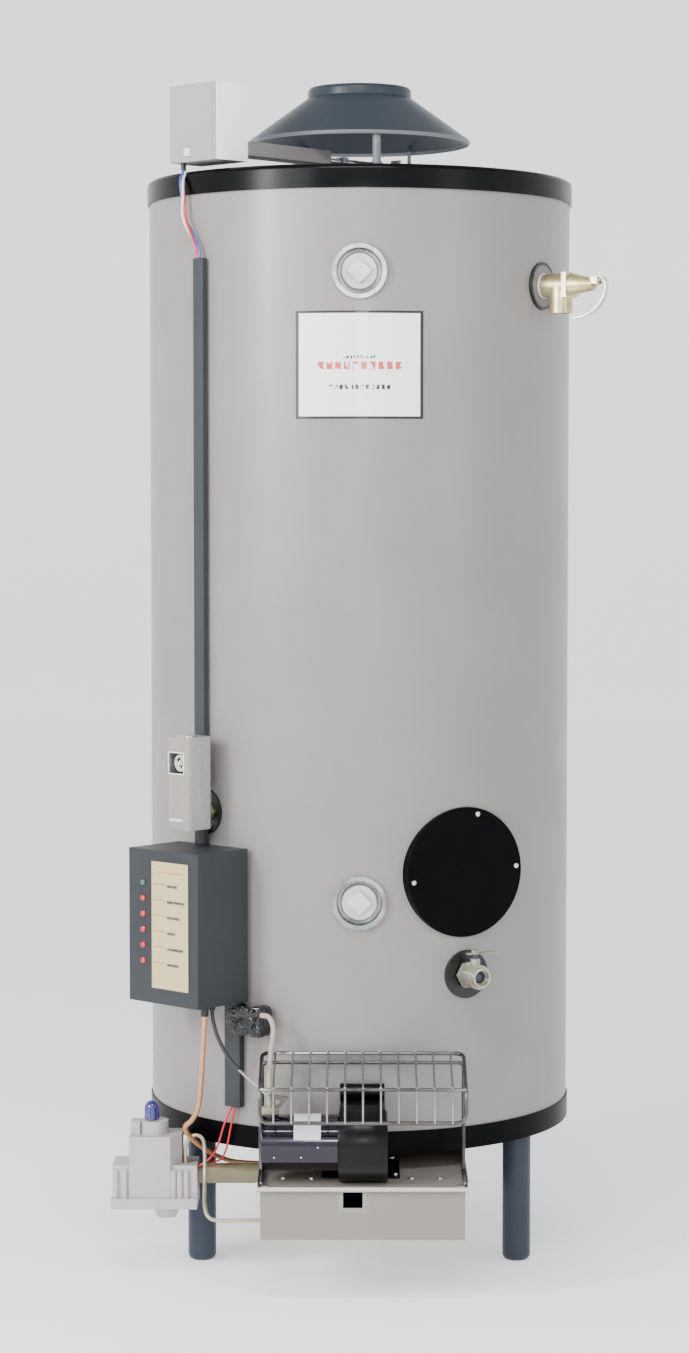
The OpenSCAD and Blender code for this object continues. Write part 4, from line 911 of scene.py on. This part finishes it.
def makeSwitch():
    meshes = [lumpyShape("disc", *wrapped["round"], 1.0), lumpyShape("block", *wrapped["block"], 0.5)]
    keep("wrappedSwitch", joined("wrappedSwitch", meshes), "gloss", "heater", "pressure_switch")


makeSwitch()


# Small trim: thermostat window, its screws and strip, and the relief valve's washer

small = {"azimuth": -41.8, "case": 0.411, "window": (-0.003, 0.799, 0.031, 0.0345),
         "screws": ((0.395, -0.0105), (0.393, 0.0065)), "top": 0.8387,
         "strip": (-0.0045, 0.7128, 0.027, 0.0040), "washer": (56.9, 1.5225)}


def makeSmallTrim():
    side, height, inner, outer = small["window"]
    turn = wallFrame(small["azimuth"], small["case"], side, height)
    meshes = [ringSlab("window", roundedOutline(outer, outer, 0.003), roundedOutline(inner, inner, 0.001),
                       -0.0002, 0.0008, turn)]
    side, height, wide, tall = small["strip"]
    turn = wallFrame(small["azimuth"], small["case"], side, height)
    meshes.append(slab("strip", roundedOutline(wide, tall, 0.0012), -0.0002, 0.0005, 0.0002, turn))
    keep("caseTrim", joined("caseTrim", meshes), "white", "heater")
    heads = []
    for out, side in small["screws"]:
        base = wallPoint(small["azimuth"], out, side, small["top"])
        profile = [(0.0001, 0.0026), (0.0035, 0.0027), (0.0042, 0.0022), (0.0062, 0.0026), (0.0070, 0.0018),
                   (0.0070, 0), (0.0001, 0)]
        heads.append(turned("head", profile, base, (0, 0, 1), 48))
    keep("caseScrews", joined("caseScrews", heads), "bright", "heater")
    azimuth, height = small["washer"]
    outward, _ = outwardFrame(azimuth)
    ring = [(0.0134, 0.3366), (0.0190, 0.3366), (0.0196, 0.3376), (0.0188, 0.3392), (0.0134, 0.3392),
            (0.0134, 0.3366)]
    keep("reliefWasher", turned("washer", ring, (0, 0, height), outward, 72), "white", "heater")


makeSmallTrim()
print("blower, guard and small trim made")

# Leads: each one follows the route that its CAD tube takes

gasLead = {"radius": 0.0038, "route": [
    (-232, -356, 422.4), (-233, -355, 405), (-235, -350, 368), (-238, -340, 325), (-243, -330, 282),
    (-253, -315, 258), (-265, -300, 242), (-257, -272, 219), (-233, -232, 190), (-203, -208, 171),
    (-175, -203, 166), (-148, -203, 165)]}
motorCable = {"radius": 0.003, "route": [
    (-221.5, -344, 429.4), (-220, -346, 415), (-214, -351, 394), (-202, -357, 370), (-187, -363, 350),
    (-166, -373, 332), (-150, -385, 321), (-136, -396, 311)]}
sensingTube = {"radius": 0.004, "route": [
    (-148, -343.5, 422), (-138, -346, 421), (-131.5, -352, 414), (-129, -357, 398), (-133, -364, 365),
    (-134.5, -372, 335), (-134, -379, 308), (-133.5, -380, 290.3)]}
pilotTube = {"radius": 0.003, "route": [
    (-267, -250, 176.3), (-267, -251, 202), (-260, -255, 216), (-250, -258, 221), (-240, -262, 215),
    (-237, -268, 196), (-236, -288, 158), (-234, -330, 130), (-228, -346, 116), (-214, -350, 111),
    (-185, -350, 111), (-147.5, -350, 111)]}
valveWires = {"radius": 0.0016, "routes": [
    [(-195, -279, 270.2), (-207, -274, 240), (-216, -268, 210), (-223, -256, 194), (-234, -251, 180),
     (-248, -250, 171)],
    [(-189, -283, 270.2), (-196, -280, 240), (-202, -273, 210), (-208, -252, 190), (-214, -234, 178),
     (-226, -217, 170), (-248, -212, 162)]]}
damperLoom = {"radius": 0.0021, "turns": 38.0, "route": [
    (-268, -205, 1695.4), (-268, -206, 1690), (-270, -213, 1680), (-268, -220, 1655), (-266, -223, 1625),
    (-255, -234, 1598), (-246, -241, 1577), (-242.8, -242.4, 1568), (-242.5, -242.5, 1561.7)]}
connector = {"outer": ((-134, 313), (-105, 309), (-126, 283)), "shrink": 0.42, "depth": (-403, -391),
             "shoe": (-146, -120, -389, -371, 279.5, 291)}


def makeConnectors():
    # the motor cable ends in a three-cornered clip, the sensing tube in a cream shoe on the motor
    corners = np.array(connector["outer"], float) / 1000
    sides = [corners[k] + (corners[(k + 1) % 3] - corners[k]) * t
             for k in range(3) for t in (0.06, 0.5, 0.94)]
    outer = np.array(sides)
    inner = outer.mean(0) + (outer - outer.mean(0)) * connector["shrink"]
    front, rear = (d / 1000 for d in connector["depth"])
    turn = (np.array([0, 1.0, 0]), np.array([1.0, 0, 0]), np.array([0, 0, 1.0]), np.zeros(3))
    keep("cableClip", ringSlab("clip", outer, inner, front, rear, turn), "brown", "heater")
    left, right, front, rear, low, high = (d / 1000 for d in connector["shoe"])
    foot = roundedOutline(right - left, rear - front, 0.003, 6, ((left + right) / 2, (front + rear) / 2))
    turnUp = (np.array([0, 0, 1.0]), np.array([1.0, 0, 0]), np.array([0, 1.0, 0]), np.zeros(3))
    keep("tubeShoe", slab("shoe", foot, low, high, 0.0012, turnUp), "cream", "heater")


def routed(points, steps=10):
    return smoothPath(np.array(points, float) / 1000, steps)


def makeLeads():
    keep("sheathedLead", tube("sheathedLead", routed(gasLead["route"], 16), gasLead["radius"], 18),
         "copper", "heater", "gas_lead")
    keep("sensingTube", tube("sensingTube", routed(sensingTube["route"]), sensingTube["radius"], 18),
         "cream", "heater", "pressure_tube")
    keep("bentPilotTube", tube("bentPilotTube", routed(pilotTube["route"]), pilotTube["radius"], 16),
         "nickel", "heater", "pilot_tube")
    wires = [tube("wire", routed(route), valveWires["radius"], 12) for route in valveWires["routes"]]
    keep("redWires", joined("redWires", wires), "red", "heater", "valve_wires")
    path = routed(motorCable["route"])
    cut = int(len(path) * 0.62)
    keep("motorSleeve", tube("motorSleeve", path[:cut], motorCable["radius"], 16), "cable",
         "heater", "motor_cable")
    for k, side in enumerate((-1, 1)):
        keep("motorWire" + str(k), tube("motorWire", path[cut - 3:], 0.0013, 10, (0.0012 * side, 0), 12),
             "steel", "heater")
    loom = routed(damperLoom["route"], 14)
    for k, colour in enumerate(("white", "blue", "red")):
        turn = 2 * math.pi * k / 3
        offset = (0.0024 * math.cos(turn), 0.0024 * math.sin(turn))
        wire = tube("loom", loom, damperLoom["radius"], 12, offset, damperLoom["turns"])
        keep("damperWire" + colour, wire, colour, "heater", "damper_harness" if k == 0 else None)


makeLeads()
makeConnectors()
print("leads made")


# Room: a pale round floor that bends up into a wall all round, wide enough for a view from any side

room = {"flat": 11.5, "bend": 2.5, "top": 9.0, "steps": 96,
        "floor": (250, 250, 250), "sky": 0.76, "glow": 0.5}


def makeRoom():
    # a profile turned about the tank's axis: flat floor, a quarter circle, then the wall
    turn = np.linspace(0, math.pi / 2, 24)
    bend = np.stack([room["flat"] + room["bend"] * np.sin(turn), room["bend"] * (1 - np.cos(turn))], 1)
    top = np.array([[room["flat"] + room["bend"], room["top"]]])
    profile = np.vstack([[[0.01, 0]], bend, top])
    around = np.linspace(0, 2 * math.pi, room["steps"], endpoint=False)
    away, level = profile[:, :1], profile[:, 1:]
    grid = np.stack([away * np.cos(around), away * np.sin(around), level + 0 * around], -1)
    mesh = gridMesh("sweep", grid[::-1], around=True)
    for polygon in mesh.polygons:
        polygon.use_smooth = True
    sheet = bpy.data.objects.new("sweep", mesh)
    bpy.context.scene.collection.objects.link(sheet)
    shade = Shade("sweepPaper")
    colour = shade.between(shade.noise(2, 3), tint(*room["floor"]), tint(*(c - 3 for c in room["floor"])))
    mesh.materials.append(shade.finish(colour=colour, rough=0.7, glow=colour, glowStrength=room["glow"]))
    sky = bpy.data.worlds.new("softSky")
    sky.use_nodes = True
    backdrop = sky.node_tree.nodes["Background"]
    backdrop.inputs[0].default_value = (0.95, 0.97, 1.0, 1)
    backdrop.inputs[1].default_value = room["sky"]
    bpy.context.scene.world = sky


lights = {
    "strip": {"at": (-2.9, -2.5, 2.25), "aim": (0, 0, 1.5), "size": (0.5, 1.6), "power": 125},
    "key": {"at": (-2.4, -3.2, 2.2), "aim": (0, 0, 0.9), "size": (1.6, 1.8), "power": 74},
    "fill": {"at": (2.7, -2.4, 1.9), "aim": (0, 0, 0.9), "size": (1.0, 2.2), "power": 16},
    "flash": {"at": (0.1, -4.3, 1.6), "aim": (0, 0, 0.6), "size": (0.5, 0.4), "power": 18},
    "above": {"at": (-0.1, -1.8, 2.6), "aim": (0, -0.4, 0.2), "size": (1.2, 0.2), "power": 30},
    "underHood": {"at": (0, 0, 1.744), "aim": (0, 0.001, 2.0), "size": (0.36, 0.36), "power": 0.42},
}


def makeLights():
    for name, light in lights.items():
        data = bpy.data.lights.new(name, "AREA")
        data.shape = "RECTANGLE"
        data.size, data.size_y = light["size"]
        data.energy = light["power"]
        lamp = bpy.data.objects.new(name, data)
        lamp.location = light["at"]
        lamp.visible_camera = False
        ahead = Vector(light["aim"]) - Vector(light["at"])
        lamp.rotation_euler = ahead.to_track_quat("-Z", "Y").to_euler()
        bpy.context.scene.collection.objects.link(lamp)


makeRoom()
makeLights()
print("room and lights made")
